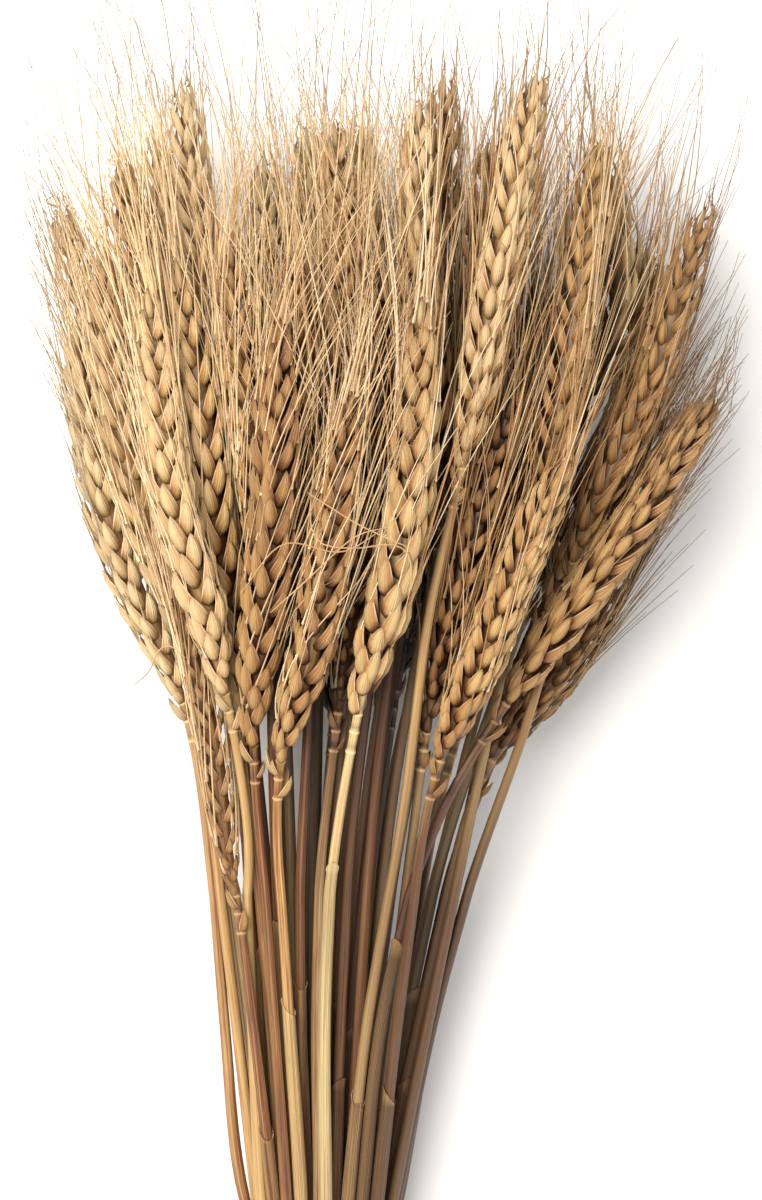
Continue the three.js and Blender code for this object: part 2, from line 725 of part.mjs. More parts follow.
// A closed ring of round section through corners in the plane at y.
function ring(corners, y) {
  const hoop = 4; // of any size, since each of its sections is moved to its corner
  const geometry = new THREE.TorusGeometry(hoop, 1, twine.sides, corners.length);
  const position = geometry.attributes.position;
  const centre = girthAt(0);
  const point = new THREE.Vector3();
  for (let i = 0; i < position.count; i += 1) {
    point.fromBufferAttribute(position, i);
    const angle = Math.atan2(point.y, point.x);
    const n = Math.round(angle / (2 * Math.PI) * corners.length + corners.length) % corners.length;
    const corner = corners[n];
    const out = new THREE.Vector2(corner.x - centre.x, corner.z - centre.z).normalize();
    const away = (Math.hypot(point.x, point.y) - hoop) * twine.radius;
    position.setXYZ(i, corner.x + out.x * away, y - point.z * twine.radius, corner.z + out.y * away);
  }
  return toSolid(geometry);
}

// The short ends of the twine lie back over the straws.
function looseEnd(crown, side) {
  const points = looseEnds.places
    .map(([x, y, z]) => new THREE.Vector3(crown.x + knot.aside + side * x, y, crown.z + z));
  const levels = points.map((at, i) => {
    const next = points[Math.min(i + 1, points.length - 1)];
    const along = next.clone().sub(points[Math.max(i - 1, 0)]).normalize();
    return { at, along, out: outward(along, 0), radius: looseEnds.radius };
  });
  return loft(twine.sides, levels);
}

// The bundle.

const bundle = new THREE.Group();

for (const stalk of stalks) {
  stalk.steepest = Math.max(...stalk.line.slice(stalk.from, stalk.to + 1)
    .map((_, i) => steepness(stalk, stalk.from + i)));
}

const tints = [colours.paleGold, colours.gold, colours.gold, colours.greenGrey, colours.brown];

for (const stalk of stalks) {
  const tint = tints[Math.floor(chance(stalk.index, 9) * tints.length)];
  const name = `stalk_${String(stalk.index + 1).padStart(2, '0')}`;
  bundle.add(toMesh(makeStalk(stalk), name, tint, 0.7));
}

bundle.add(toMesh(makeTwine(), 'twine', colours.twine, 0.9));

export default bundle;
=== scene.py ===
import json
import math

import bpy
import numpy as np
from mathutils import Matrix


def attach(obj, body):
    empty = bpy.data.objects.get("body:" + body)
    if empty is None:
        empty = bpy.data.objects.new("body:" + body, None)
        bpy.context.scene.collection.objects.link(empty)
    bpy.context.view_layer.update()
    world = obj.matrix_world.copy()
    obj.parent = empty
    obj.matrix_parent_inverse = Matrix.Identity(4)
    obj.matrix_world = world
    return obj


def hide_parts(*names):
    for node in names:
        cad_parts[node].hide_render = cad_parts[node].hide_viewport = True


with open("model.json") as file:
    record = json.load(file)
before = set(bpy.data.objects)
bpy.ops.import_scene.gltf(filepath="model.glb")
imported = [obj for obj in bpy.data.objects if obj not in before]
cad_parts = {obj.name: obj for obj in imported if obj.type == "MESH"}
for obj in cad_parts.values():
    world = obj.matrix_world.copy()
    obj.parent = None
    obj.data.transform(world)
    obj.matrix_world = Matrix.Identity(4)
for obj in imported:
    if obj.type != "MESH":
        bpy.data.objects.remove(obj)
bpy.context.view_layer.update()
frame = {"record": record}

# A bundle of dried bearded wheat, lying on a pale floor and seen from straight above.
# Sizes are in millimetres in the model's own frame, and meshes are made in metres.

metre = 0.001  # metres in a millimetre
rest = "root"  # the only body
slotOf = {part["node"]: part["material_slot"] for part in frame["record"]["subparts"]}


# Camera, floor and light

view = {
    "aim": (14.75, 195, 60),  # the point in the middle of the picture
    "distance": 950,
    "tall": 300,  # how much of the bundle's length the picture shows
    "film": 36,
}
studio = {
    "floor": (0.78, 0.775, 0.77),
    "world": (1.0, 0.985, 0.96),
    "worldStrength": 0.87,
    "key": {"from": (-430, 480, 1080), "size": 1000, "power": 25, "colour": (1.0, 0.96, 0.9)},
    "fill": {"from": (900, -500, 500), "size": 700, "power": 3, "colour": (0.98, 0.98, 1.0)},
}


def makeCamera():
    camera = bpy.data.objects.new("camera", bpy.data.cameras.new("camera"))
    camera.data.sensor_width = view["film"]
    camera.data.lens = view["film"] * view["distance"] / view["tall"]
    camera.data.clip_start = 0.01
    x, y, z = view["aim"]
    camera.location = (x * metre, y * metre, (z + view["distance"]) * metre)
    bpy.context.scene.collection.objects.link(camera)
    bpy.context.scene.camera = camera


def makeLamp(name, plan):
    lamp = bpy.data.lights.new(name, "AREA")
    lamp.shape = "DISK"
    lamp.size = plan["size"] * metre
    lamp.energy = plan["power"]
    lamp.color = plan["colour"]
    lampObject = bpy.data.objects.new(name, lamp)
    place = np.array(plan["from"], float)
    away = place - np.array(view["aim"], float)
    lampObject.location = place * metre
    lampObject.rotation_euler = (
        math.atan2(math.hypot(away[0], away[1]), away[2]), 0, math.atan2(away[0], -away[1]))
    bpy.context.scene.collection.objects.link(lampObject)


# Shader maths

class Wire:
    # A socket that can stand in sums.
    def __init__(self, finish, socket):
        self.finish = finish
        self.socket = socket

    def math(self, operation, *values):
        return self.finish.node("ShaderNodeMath", {"operation": operation}, dict(enumerate(values)))

    def __add__(self, other):
        return self.math("ADD", self, other)

    __radd__ = __add__

    def __sub__(self, other):
        return self.math("SUBTRACT", self, other)

    def __rsub__(self, other):
        return self.math("SUBTRACT", other, self)

    def __mul__(self, other):
        return self.math("MULTIPLY", self, other)

    __rmul__ = __mul__

    def sine(self):
        return self.math("SINE", self)

    def between(self, low, high):
        # 0 at low and 1 at high, smooth in between
        values = {"Value": self, "From Min": low, "From Max": high}
        return self.finish.node("ShaderNodeMapRange", {"interpolation_type": "SMOOTHSTEP"}, values)


class Finish:
    # One material and the nodes that paint it.
    def __init__(self, name):
        self.material = bpy.data.materials.new(name)
        self.material.use_nodes = True
        self.tree = self.material.node_tree
        self.shader = self.tree.nodes["Principled BSDF"]

    def node(self, kind, settings, values, out=0):
        made = self.tree.nodes.new(kind)
        for key, setting in settings.items():
            setattr(made, key, setting)
        for key, value in values.items():
            if isinstance(value, Wire):
                self.tree.links.new(value.socket, made.inputs[key])
            else:
                made.inputs[key].default_value = value
        return Wire(self, made.outputs[out])

    def mix(self, share, first, second):
        return self.node("ShaderNodeMix", {"data_type": "RGBA"}, {0: share, 6: first, 7: second}, 2)

    def paint(self, family, base, gain, coats):
        # a base colour and coats over it: each coat is its mask, its colour's name and a gain
        colour = shade(family[base], gain)
        for mask, name, strength in coats:
            colour = self.mix(mask, colour, shade(family[name], strength))
        return colour

    def noise(self, x, y, z, scale, detail, rough=0.5):
        place = self.node("ShaderNodeCombineXYZ", {}, {0: x, 1: y, 2: z})
        values = {"Vector": place, "Scale": scale, "Detail": detail, "Roughness": rough}
        return self.node("ShaderNodeTexNoise", {}, values)

    def attribute(self, name, out="Fac"):
        return self.node("ShaderNodeAttribute", {"attribute_name": name}, {}, out)

    def split(self, vector):
        return [self.node("ShaderNodeSeparateXYZ", {}, {0: vector}, part) for part in range(3)]

    def bump(self, height, distance):
        values = {"Height": height, "Distance": distance * metre, "Strength": 1.0}
        return self.node("ShaderNodeBump", {}, values)

    def feed(self, colour, roughness, normal=None, specular=0.5):
        for name, wire in (("Base Color", colour), ("Roughness", roughness), ("Normal", normal)):
            if wire:
                self.tree.links.new(wire.socket, self.shader.inputs[name])
        self.shader.inputs["Specular IOR Level"].default_value = specular
        return self.material


def shade(code, gain=1.0):
    # a colour as #rrggbb, made linear
    parts = [int(code[i:i + 2], 16) / 255 for i in (1, 3, 5)]
    linear = [p / 12.92 if p <= 0.04045 else ((p + 0.055) / 1.055) ** 2.4 for p in parts]
    return (*[min(part * gain, 1) for part in linear], 1)


# Finishes. Every stalk has one family of colours, and four finishes of it: the bare stem, the leaf
# sheath round it, the husks of the ear, and the awns.

# the palest husk colour paints both the husks' pale rims and painted light on them
families = {
    "pale_straw": {
        "stem": "#BA955E", "stemDeep": "#724225", "sheath": "#BA9F70", "sheathDeep": "#80643F",
        "husk": "#B08C55", "huskLight": "#DAC38E", "huskWarm": "#B98346", "huskDeep": "#7C4A24",
        "paleAndLit": "#E6D2AE", "awn": "#F6E4C6", "awnTip": "#8B6F4C",
    },
    "golden_straw": {
        "stem": "#AC7C42", "stemDeep": "#65341B", "sheath": "#A98453", "sheathDeep": "#6C4C2E",
        "husk": "#AA8047", "huskLight": "#D0B078", "huskWarm": "#AE763B", "huskDeep": "#72421F",
        "paleAndLit": "#DEC6A0", "awn": "#F0D8B0", "awnTip": "#826644",
    },
    "green_grey_straw": {
        "stem": "#96804C", "stemDeep": "#573820", "sheath": "#9B845A", "sheathDeep": "#644F33",
        "husk": "#9E8351", "huskLight": "#C0AB7A", "huskWarm": "#A0753F", "huskDeep": "#664323",
        "paleAndLit": "#D1BF9C", "awn": "#E8D3B0", "awnTip": "#7C6344",
    },
    "brown_straw": {
        "stem": "#8C5A34", "stemDeep": "#4A2315", "sheath": "#906943", "sheathDeep": "#573A23",
        "husk": "#986E40", "huskLight": "#BC965E", "huskWarm": "#9A6733", "huskDeep": "#63391C",
        "paleAndLit": "#CCB28C", "awn": "#DFC29A", "awnTip": "#76593C",
    },
}
twineColours = {"fibre": "#CDB083", "fibreDeep": "#8A6A3E"}


def makeStemFinish(name, family, ribbed):
    finish = Finish(name)
    light = "sheath" if ribbed else "stem"
    x, y, run = finish.split(finish.attribute("grain", "Vector"))
    tone = finish.attribute("tone")
    dark = finish.attribute("dark")

    def drawnOut(around, along, seed, *noise):
        # noise that runs along the stalk, and differs from one stalk to the next
        return finish.noise(x * around, y * around, run * along + tone * seed, *noise)

    streak = drawnOut(2.6, 0.035, 37, 1.6, 4, 0.6)
    band = drawnOut(0.9, 0.008, 61, 1.7, 2)
    blotch = drawnOut(0.6, 0.05, 91, 1, 3, 0.6)
    line = drawnOut(5.5, 0.012, 23, 1.5, 2)
    colour = finish.paint(family, light + "Deep", 1, (
        (streak.between(0.38, 0.6), light, 1),
        (band.between(0.42, 0.62) * 0.5, "huskLight", 0.85),
        ((1 - band.between(0.36, 0.5)) * 0.5, "huskDeep", 0.9),
        (blotch.between(0.5, 0.75) * 0.4, "stemDeep", 1),
        ((1 - line.between(0.36, 0.48)) * 0.42, "stemDeep", 1.3),
        (line.between(0.56, 0.66) * 0.45, "huskLight", 0.95),
        (tone.between(0.45, 1) * 0.45, "huskLight", 0.95),
        ((1 - tone.between(0, 0.5)) * 0.45, "stemDeep", 1.2),
        # painted shade deep inside the bundle, on its right, in the bore and the mouth of the sheath, on
        # the rachis in the ear and over each collar, with the nodes' own dark bands; below zero, paler
        # collars and lips
        (dark, "stemDeep", 0.3),
        (0 - dark, "huskLight", 1),
    ))
    ribs = streak + line
    if ribbed:
        ribs = (x.math("ARCTAN2", y, x) * 26).sine() * 0.5 + ribs
    return finish.feed(colour, streak * 0.25 + (0.42 if ribbed else 0.32),
                       finish.bump(ribs, 0.16 if ribbed else 0.1), 0.45)


def makeHuskFinish(name, family):
    finish = Finish(name)
    across, bulge, run = finish.split(finish.attribute("grain", "Vector"))
    tone = finish.attribute("tone")
    dark = finish.attribute("dark")
    streak = finish.noise(across * 3.2, bulge * 3.2, run * 0.9 + tone * 53, 2.2, 4, 0.6)
    beside = across.math("ABSOLUTE", across)
    # a painted highlight along each husk's crest
    crestHighlight = bulge.between(0.45, 1) * run.between(0.05, 0.4)
    nerves = (across * 22).sine()
    # painted shade in the grooves between the nerves
    grooveShade = (0 - nerves).between(0.35, 1) * run.between(0.1, 0.4)
    colour = finish.paint(family, "husk", 0.7, (
        (streak.between(0.36, 0.72), "huskLight", 0.8),
        (crestHighlight * 0.5, "huskLight", 1.05),
        (tone.between(0.4, 1) * 0.55, "husk", 0.72),
        (grooveShade * 0.22, "huskDeep", 1.2),
        # warm painted shade on the edge nearer the middle of the ear's face
        (across.between(0.1, 1) * 0.4, "huskWarm", 1),
        # painted shade towards each husk's edges and at its foot
        (beside.between(0.7, 0.92) * 0.36, "huskDeep", 1.3),
        ((1 - run.between(0, 0.22)) * 0.6, "huskDeep", 1),
        # painted light, where dark is below zero: the bundle's left and top, and some whole ears
        (0 - dark, "paleAndLit", 1),
        (beside.between(0.9, 0.99) * 0.75, "paleAndLit", 1),
        # painted shade: in the creases, deep inside the bundle, on its right and on some whole ears
        (dark.between(0, 0.6) * 0.7, "huskDeep", 1.15),
        (dark.between(0.3, 1.05), "huskDeep", 0.24),
    ))
    return finish.feed(colour, streak * 0.3 + 0.36, finish.bump(nerves * 0.26 + streak * 0.8, 0.2), 0.4)


def makeAwnFinish(name, family):
    finish = Finish(name)
    x, y, run = finish.split(finish.attribute("grain", "Vector"))
    tone = finish.attribute("tone")
    wear = finish.noise(x, y, run * 9 + tone * 71, 1, 2)
    colour = finish.paint(family, "awn", 1, (
        (wear.between(0.4, 0.8), "huskLight", 1),
        # browner by tone: partly a random difference, partly painted shade on the bundle's right
        (tone.between(0.3, 0.8) * 0.85, "huskWarm", 0.8),
        # darker greyer tips: partly their own colour, partly painted shade
        (run.between(0.7, 1) * 0.75, "awnTip", 1),
        # dark: painted shade deep inside the bundle, and the greying and painted shade of the awns that
        # stick out
        (finish.attribute("dark"), "awnTip", 0.8),
    ))
    return finish.feed(colour, wear * 0.2 + 0.4, finish.bump(wear, 0.03))


def makeTwineFinish():
    finish = Finish("twineFibre")
    x, y, run = finish.split(finish.attribute("grain", "Vector"))
    fibre = finish.noise(x * 2 + run * 0.9, y * 2, run * 0.25, 3, 5, 0.7)
    colour = finish.paint(twineColours, "fibreDeep", 1, [(fibre.between(0.3, 0.7), "fibre", 1)])
    return finish.feed(colour, fibre * 0.2 + 0.75, finish.bump(fibre, 0.16))


def makeFloorFinish():
    finish = Finish("floorPaint")
    x, y, z = finish.split(finish.node("ShaderNodeTexCoord", {}, {}, "Object"))
    grain = finish.noise(x, y, z, 180, 3)
    darker = [part * 0.985 for part in studio["floor"]]
    colour = finish.mix(grain, (*darker, 1), (*studio["floor"], 1))
    return finish.feed(colour, grain * 0.1 + 0.8)


# The layout of the stalks: centre lines over shared cross-sections, pushed apart until none touches
# another. It is the layout that the solids follow.

straw = {
    "cutEnd": -55, "cutSpread": 7,
    "radius": 1.45, "sheathRadius": 1.7, "sheathFrom": 45, "neckRadius": 1.2,
}
ear = {"length": 98, "radius": 6.2, "roll": 16}
twine = {"radius": 1.1, "turns": 3, "pitch": 2.1, "steps": 14, "flat": 0.22, "halfBand": 8}
gap = 0.48
layerDepth = 12
strawSections = [-65, -8, 8, 45, 85]
earSections = list(range(120, 336, 5))
sections = np.array(strawSections + earSections, float)

girth = {
    "y": [-65, 0, 45, 120, 170, 220, 270, 335],
    "x": [0, 0, 0, 4, 8, 12, 13, 12],
    "z": [11, 13.5, 18, 27, 34, 41, 43, 43],
    "halfWidth": [21, 15, 21, 32, 44, 64, 74, 70],
    "halfHeight": [9, 9.5, 13, 19, 27, 34, 36, 31],
}

# For each stalk: how many ears lie over its own, the places that its straw passes through, the foot,
# the middle and the tip of its ear, and how thick the ear is beside a full one.
seenStalks = [
    (0, [(-20, 120)], [(-24, 172), (-35, 222), (-43, 272)], 1),
    (0.9, [(-16, 110)], [(-22, 167), (-26, 220), (-37, 280)], 1),
    (0, [(-14, 110)], [(-17, 159), (-13, 208), (-10, 264)], 1),
    (0, [(-10, 100)], [(-11, 155), (1, 199), (8, 246)], 1),
    (0, [(1, 110)], [(9, 167), (21, 213), (25, 269)], 1),
    (1.1, [(-2, 110)], [(4, 167), (8, 198), (12, 240)], 0.86),
    (0.5, [(28, 195), (18, 120), (10, 67)], [(35, 228), (43, 272), (54, 327)], 1),
    (0.7, [(20, 110)], [(27, 162), (36, 204), (48, 247)], 0.86),
    (0, [(21, 110)], [(29, 155), (43, 191), (61, 231)], 1),
    (0.2, [(30, 141), (16, 100)], [(46, 169), (70, 206), (98, 247)], 1),
    (1.5, [(32, 120)], [(41, 154), (62, 182), (83, 220)], 1),
    (0.7, [(50, 158), (31, 100)], [(66, 205), (82, 250), (97, 295)], 1),
    (0.8, [(40, 150)], [(55, 217), (63, 264), (70, 311)], 1),
    (1.2, [(12, 130)], [(21, 224), (23, 272), (24, 320)], 1),
    (1.9, [(16, 130)], [(30, 218), (36, 265), (43, 313)], 1),
    (2.4, [(10, 120)], [(26, 232), (29, 280), (31, 329)], 1),
    (0.6, [(-28, 120), (-22, 46)], [(-35, 169), (-52, 216), (-63, 266)], 1),
    (0.6, [(-27, 120)], [(-36, 186), (-47, 230), (-56, 285)], 1),
    (1.5, [(-26, 130)], [(-40, 202), (-57, 255), (-68, 297)], 1),
    (0, [(-17, 80)], [(-21, 120), (-27, 162), (-37, 202)], 0.74),
    (1.1, [(-20, 140)], [(-31, 212), (-42, 260), (-52, 307)], 1),
    (1.9, [(-15, 130)], [(-26, 230), (-31, 278), (-36, 327)], 1),
    (2.6, [(-20, 130)], [(-33, 222), (-39, 270), (-44, 317)], 1),
    (1.4, [(-8, 120)], [(-11, 212), (-14, 260), (-15, 307)], 1),
    (1.1, [(-12, 120)], [(-14, 190), (-18, 237), (-21, 285)], 1),
    (0.9, [(-6, 110)], [(-3, 187), (-5, 235), (-6, 283)], 1),
    (2.2, [(-3, 120)], [(0, 218), (-2, 266), (-4, 315)], 1),
    (1.5, [(2, 120)], [(8, 219), (6, 267), (3, 315)], 1),
    (1.2, [(6, 120)], [(12, 184), (12, 231), (11, 279)], 1),
    (2.7, [(5, 130)], [(14, 220), (12, 268), (10, 316)], 1),
    (1.9, [(38, 140)], [(58, 192), (71, 238), (82, 284)], 1),
    (2.3, [(34, 140)], [(52, 210), (66, 258), (77, 305)], 1),
    (2.4, [(30, 115)], [(48, 162), (68, 203), (88, 245)], 1),
]

# The stalks underneath and at the back are placed by rule.
hidden = {
    "count": 20, "turn": 137.5, "top": 0.1, "bottom": -1.1,
    "footNear": 150, "footFar": 232, "shortest": 0.9, "roll": 45, "rollSpread": 12,
}
edge = 0.96  # how far across its half-width a stalk may lie
earSwell = {"at": [0, 0.09, 0.22, 0.4, 0.68, 0.88, 1], "size": [0.3, 0.66, 0.94, 1, 0.96, 0.74, 0.36]}


def chance(a, b):
    wave = math.sin(a * 12.9898 + b * 78.233 + 4.1) * 43758.5453
    return wave - math.floor(wave)


def lerp(a, b, t):
    return a + (b - a) * t


def smoothAt(ys, values, y):
    # a smooth line through values at growing ys, at one y or an array of them
    ys = np.asarray(ys, float)
    values = np.asarray(values, float)
    y = np.clip(y, ys[0], ys[-1])
    slopes = np.empty_like(values)
    slopes[1:-1] = (values[2:] - values[:-2]) / (ys[2:] - ys[:-2])
    slopes[0] = (values[1] - values[0]) / (ys[1] - ys[0])
    slopes[-1] = (values[-1] - values[-2]) / (ys[-1] - ys[-2])
    k = np.clip(np.searchsorted(ys, y) - 1, 0, len(ys) - 2)
    span = ys[k + 1] - ys[k]
    t = (y - ys[k]) / span
    rise = values[k + 1] - values[k]
    start = slopes[k] * span
    end = slopes[k + 1] * span
    return (values[k] + t * start + t ** 2 * (3 * rise - 2 * start - end)
            + t ** 3 * (start + end - 2 * rise))


def girthAt(y):
    return {name: smoothAt(girth["y"], girth[name], y) for name in girth if name != "y"}


def strawRadius(stalk, y):
    widening = np.clip((y - twine["halfBand"]) / (straw["sheathFrom"] - twine["halfBand"]), 0, 1)
    low = lerp(straw["radius"], straw["sheathRadius"], widening)
    rise = np.clip((y - straw["sheathFrom"]) / (stalk["foot"] - straw["sheathFrom"]), 0, 1)
    high = lerp(straw["sheathRadius"], straw["neckRadius"], rise)
    return np.where(y < straw["sheathFrom"], low, high)


def swellAt(stalk, y):
    along = (y - stalk["foot"]) / (stalk["tip"] - stalk["foot"])
    return smoothAt(earSwell["at"], earSwell["size"], along)


def radiusAt(stalk, y):
    full = np.maximum(straw["neckRadius"], stalk["earRadius"] * swellAt(stalk, y))
    return np.where(y <= stalk["foot"], strawRadius(stalk, y), full)


def seenStalk(plan, index):
    layer, strawPlaces, earPlaces, size = plan
    knots = []
    for x, y in strawPlaces[::-1] + earPlaces:
        g = girthAt(y)
        across = np.clip((x - g["x"]) / g["halfWidth"], -edge, edge)
        roof = g["z"] + g["halfHeight"] * math.sqrt(1 - across ** 2)
        knots.append((x, y, roof - layer * layerDepth * g["halfHeight"] / max(girth["halfHeight"])))
    return {
        "index": index, "knots": knots, "hidden": False, "give": 0.25,
        "foot": earPlaces[0][1], "tip": earPlaces[2][1], "earRadius": ear["radius"] * size,
        "roll": math.radians(lerp(-ear["roll"], ear["roll"], chance(index, 1))),
    }


def hiddenStalk(index):
    i = index - len(seenStalks)
    share = math.sqrt((i + 0.5) / hidden["count"])
    angle = math.radians(hidden["turn"] * i)
    across = share * math.cos(angle)
    rise = lerp(hidden["top"], hidden["bottom"], abs(share * math.sin(angle)))
    foot = lerp(hidden["footNear"], hidden["footFar"], chance(index, 2))
    tip = foot + ear["length"] * lerp(hidden["shortest"], 1, chance(index, 3))
    knots = []
    for y in (earSections[0], foot, (foot + tip) / 2, tip):
        g = girthAt(y)
        knots.append((g["x"] + g["halfWidth"] * across * edge, y, g["z"] + g["halfHeight"] * rise))
    roll = hidden["roll"] + lerp(-hidden["rollSpread"], hidden["rollSpread"], chance(index, 1))
    return {
        "index": index, "knots": knots, "hidden": True, "give": 1, "foot": foot, "tip": tip,
        "earRadius": ear["radius"], "roll": math.radians(roll),
    }


gathering = {"rounds": 400, "pullAcross": 0.018, "pullUp": 0.03}
spread = {"across": 1.45, "up": 1.25}  # of the straws below the twine


def gatherAtTwine(stalks):
    # draws the straws together at the twine as tightly as they fit
    floor = straw["radius"] + gap + 2 * twine["radius"] - twine["flat"]
    apart = 2 * straw["radius"] + gap
    centre = girthAt(0)
    places = []
    for stalk in stalks:
        x, y, z = stalk["knots"][0]
        g = girthAt(y)
        places.append([
            centre["x"] + (x - g["x"]) / g["halfWidth"] * centre["halfWidth"],
            centre["z"] + (z - g["z"]) / g["halfHeight"] * centre["halfHeight"],
        ])
    for turn in range(gathering["rounds"]):
        slack = 1 - turn / gathering["rounds"]
        for place in places:
            place[0] -= gathering["pullAcross"] * slack * (place[0] - centre["x"])
            place[1] -= gathering["pullUp"] * slack * (place[1] - centre["z"])
        for i, a in enumerate(places):
            for b in places[i + 1:]:
                dx = b[0] - a[0]
                dz = b[1] - a[1]
                distance = math.hypot(dx, dz)
                if distance >= apart:
                    continue
                push = 0.5 * (apart - distance) / max(distance, 1e-6)
                a[0] -= dx * push
                a[1] -= dz * push
                b[0] += dx * push
                b[1] += dz * push
        for place in places:
            place[1] = max(place[1], floor)
    return places


def runStraws(stalks):
    # each straw runs level through the twine and sinks towards the surface below it
    for stalk, (x, z) in zip(stalks, gatherAtTwine(stalks)):
        sunk = (straw["radius"] + gap / 2
                + (z - straw["radius"] - 2 * twine["radius"] - gap) * spread["up"])
        stalk["gathered"] = (x, z)
        stalk["butt"] = straw["cutEnd"] + straw["cutSpread"] * (chance(stalk["index"], 4) - 0.5)
        stalk["knots"] = [(x * spread["across"], sections[0], sunk), (x, -twine["halfBand"], z),
                          (x, twine["halfBand"], z)] + stalk["knots"]
        xs, ys, zs = zip(*stalk["knots"])
        stalk["x"] = smoothAt(ys, xs, sections)
        stalk["z"] = smoothAt(ys, zs, sections)
        stalk["first"] = int(np.argmax(sections > stalk["butt"])) - 1
        stalk["last"] = int(np.argmax(sections >= stalk["tip"]))


settling = {
    "rounds": 320, "push": 0.55, "smoothing": 0.2, "wishing": 0.012,
    "lastRounds": 80, "lastSmoothing": 0.08,
}


def settle(stalks):
    # pushes the stalks apart as pieces of line between sections; place is (x and z, stalk, section)
    place = np.array([[stalk[axis] for stalk in stalks] for axis in "xz"])
    wish = place.copy()
    first = np.array([[stalk["first"]] for stalk in stalks])
    last = np.array([[stalk["last"]] for stalk in stalks])
    give = np.array([stalk["give"] for stalk in stalks], float)
    radius = np.array([radiusAt(stalk, sections) for stalk in stalks])
    k = np.arange(len(sections))[None, :]
    low = np.clip(k - 1, first, last)
    high = np.clip(k + 1, first, last)
    run = np.maximum(sections[high] - sections[low], 1e-9)
    free = (k >= first) & (k <= last) & (np.abs(sections) > twine["halfBand"])
    one, two = np.triu_indices(len(stalks), 1)
    meet = ((k[:, :-1] >= np.maximum(first[one], first[two]))
            & (k[:, :-1] < np.minimum(last[one], last[two])))

    def neighbour(values, which):
        return np.take_along_axis(values, which[None], 2)

    for turn in range(settling["rounds"]):
        closing = turn >= settling["rounds"] - settling["lastRounds"]
        smoothing = settling["lastSmoothing"] if closing else settling["smoothing"]
        wishing = 0 if closing else settling["wishing"]
        steep = (neighbour(place, high) - neighbour(place, low)) / run
        reach = radius * np.sqrt(1 + steep[0] ** 2 + steep[1] ** 2)
        between = place[:, two] - place[:, one]
        start = between[..., :-1]
        way = between[..., 1:] - start
        t = np.clip(-(start * way).sum(0) / ((way ** 2).sum(0) + 1e-9), 0, 1)
        near = start + t * way
        distance = np.hypot(*near) + 1e-6
        need = reach[one] + reach[two]
        apart = lerp(need[:, :-1], need[:, 1:], t) + gap
        pair, at = np.nonzero(meet & (distance < apart))
        a = one[pair]
        b = two[pair]
        t = t[pair, at]
        push = (settling["push"] * (apart[pair, at] - distance[pair, at]) / distance[pair, at]
                / ((1 - t) ** 2 + t ** 2))
        share = give[a] / (give[a] + give[b])
        moves = np.zeros_like(place)
        for section, weight in ((at, 1 - t), (at + 1, t)):
            for move, off in zip(moves, near[:, pair, at]):
                np.add.at(move, (a, section), -off * push * share * weight)
                np.add.at(move, (b, section), off * push * (1 - share) * weight)
        place = np.where(free, place + moves, place)
        strayed = place - wish
        middle = (neighbour(strayed, low) + neighbour(strayed, high)) / 2
        place += np.where(free, smoothing * (middle - strayed) - wishing * strayed, 0)
        place[1] = np.where(free, np.maximum(place[1], reach), place[1])
    for stalk, x, z in zip(stalks, *place):
        stalk["x"] = x
        stalk["z"] = z


def layStalks():
    stalks = [seenStalk(plan, index) for index, plan in enumerate(seenStalks)]
    stalks += [hiddenStalk(len(seenStalks) + i) for i in range(hidden["count"])]
    runStraws(stalks)
    settle(stalks)
    return stalks


# Skins: every piece is a heap of closed skins, each a row of rings with a point at either end. What
# lies deep inside the bundle is painted darker and browner than its skin, as painted shade.

depth = {
    "from": 0.97,  # shares of the way from the bundle's middle to its skin
    "toStraws": 0.48,
    "toEars": 0.67,
    "straws": 0.85,  # how dark the painted shade gets among the straws and among the ears
    "ears": 0.88,
    "earsFrom": (110, 190),
    "fade": [(212, 272), (305, 345)],  # the loose top of the bundle lets the light in, most on its left
    "right": (-0.1, 0.5),
    "rightShade": [0.08, 0.85],  # how much painted shade darkens and browns the ears and the straws on its right
    "rightShadeFrom": (-0.1, 0.7),
    "paleAndLit": 0.3,  # how much painted light makes the husks on its left and at its top paler
    "paintedLightFrom": (120, 170),
    "left": (-0.1, -0.75),
    "top": (245, 300),
}
lowest = 0.02  # no point of a piece lies lower than this
upwards = np.array([0.0, 0, 1])


def ease(low, high, value):
    t = np.clip((value - low) / (high - low), 0, 1)
    return t * t * (3 - 2 * t)


def depthAt(points):
    # painted shade: darker deep inside the bundle and on its right, less so at its loose top
    x, y, z = points.T
    g = girthAt(y)
    across = (x - g["x"]) / g["halfWidth"]
    out = np.hypot(across, (z - g["z"]) / g["halfHeight"])
    low = 1 - ease(*depth["earsFrom"], y)
    most = lerp(depth["ears"], depth["straws"], low)
    rightShade = lerp(*depth["rightShade"], low) * ease(*depth["rightShadeFrom"], across)
    right = ease(*depth["right"], across)
    starts, ends = depth["fade"]
    fade = 1 - ease(lerp(*starts, right), lerp(*ends, right), y)
    deep = ease(depth["from"], lerp(depth["toEars"], depth["toStraws"], low), out)
    return (deep * most + rightShade * (1 - deep)) * fade


def paintedLightAt(points):
    # painted light: paler husks on the bundle's left and at its top
    x = points[..., 0]
    y = points[..., 1]
    g = girthAt(y)
    across = (x - g["x"]) / g["halfWidth"]
    top = ease(*depth["top"], y) * (1 - ease(*depth["right"], across))
    paler = np.maximum(ease(*depth["left"], across), top)
    return depth["paleAndLit"] * ease(*depth["paintedLightFrom"], y) * paler


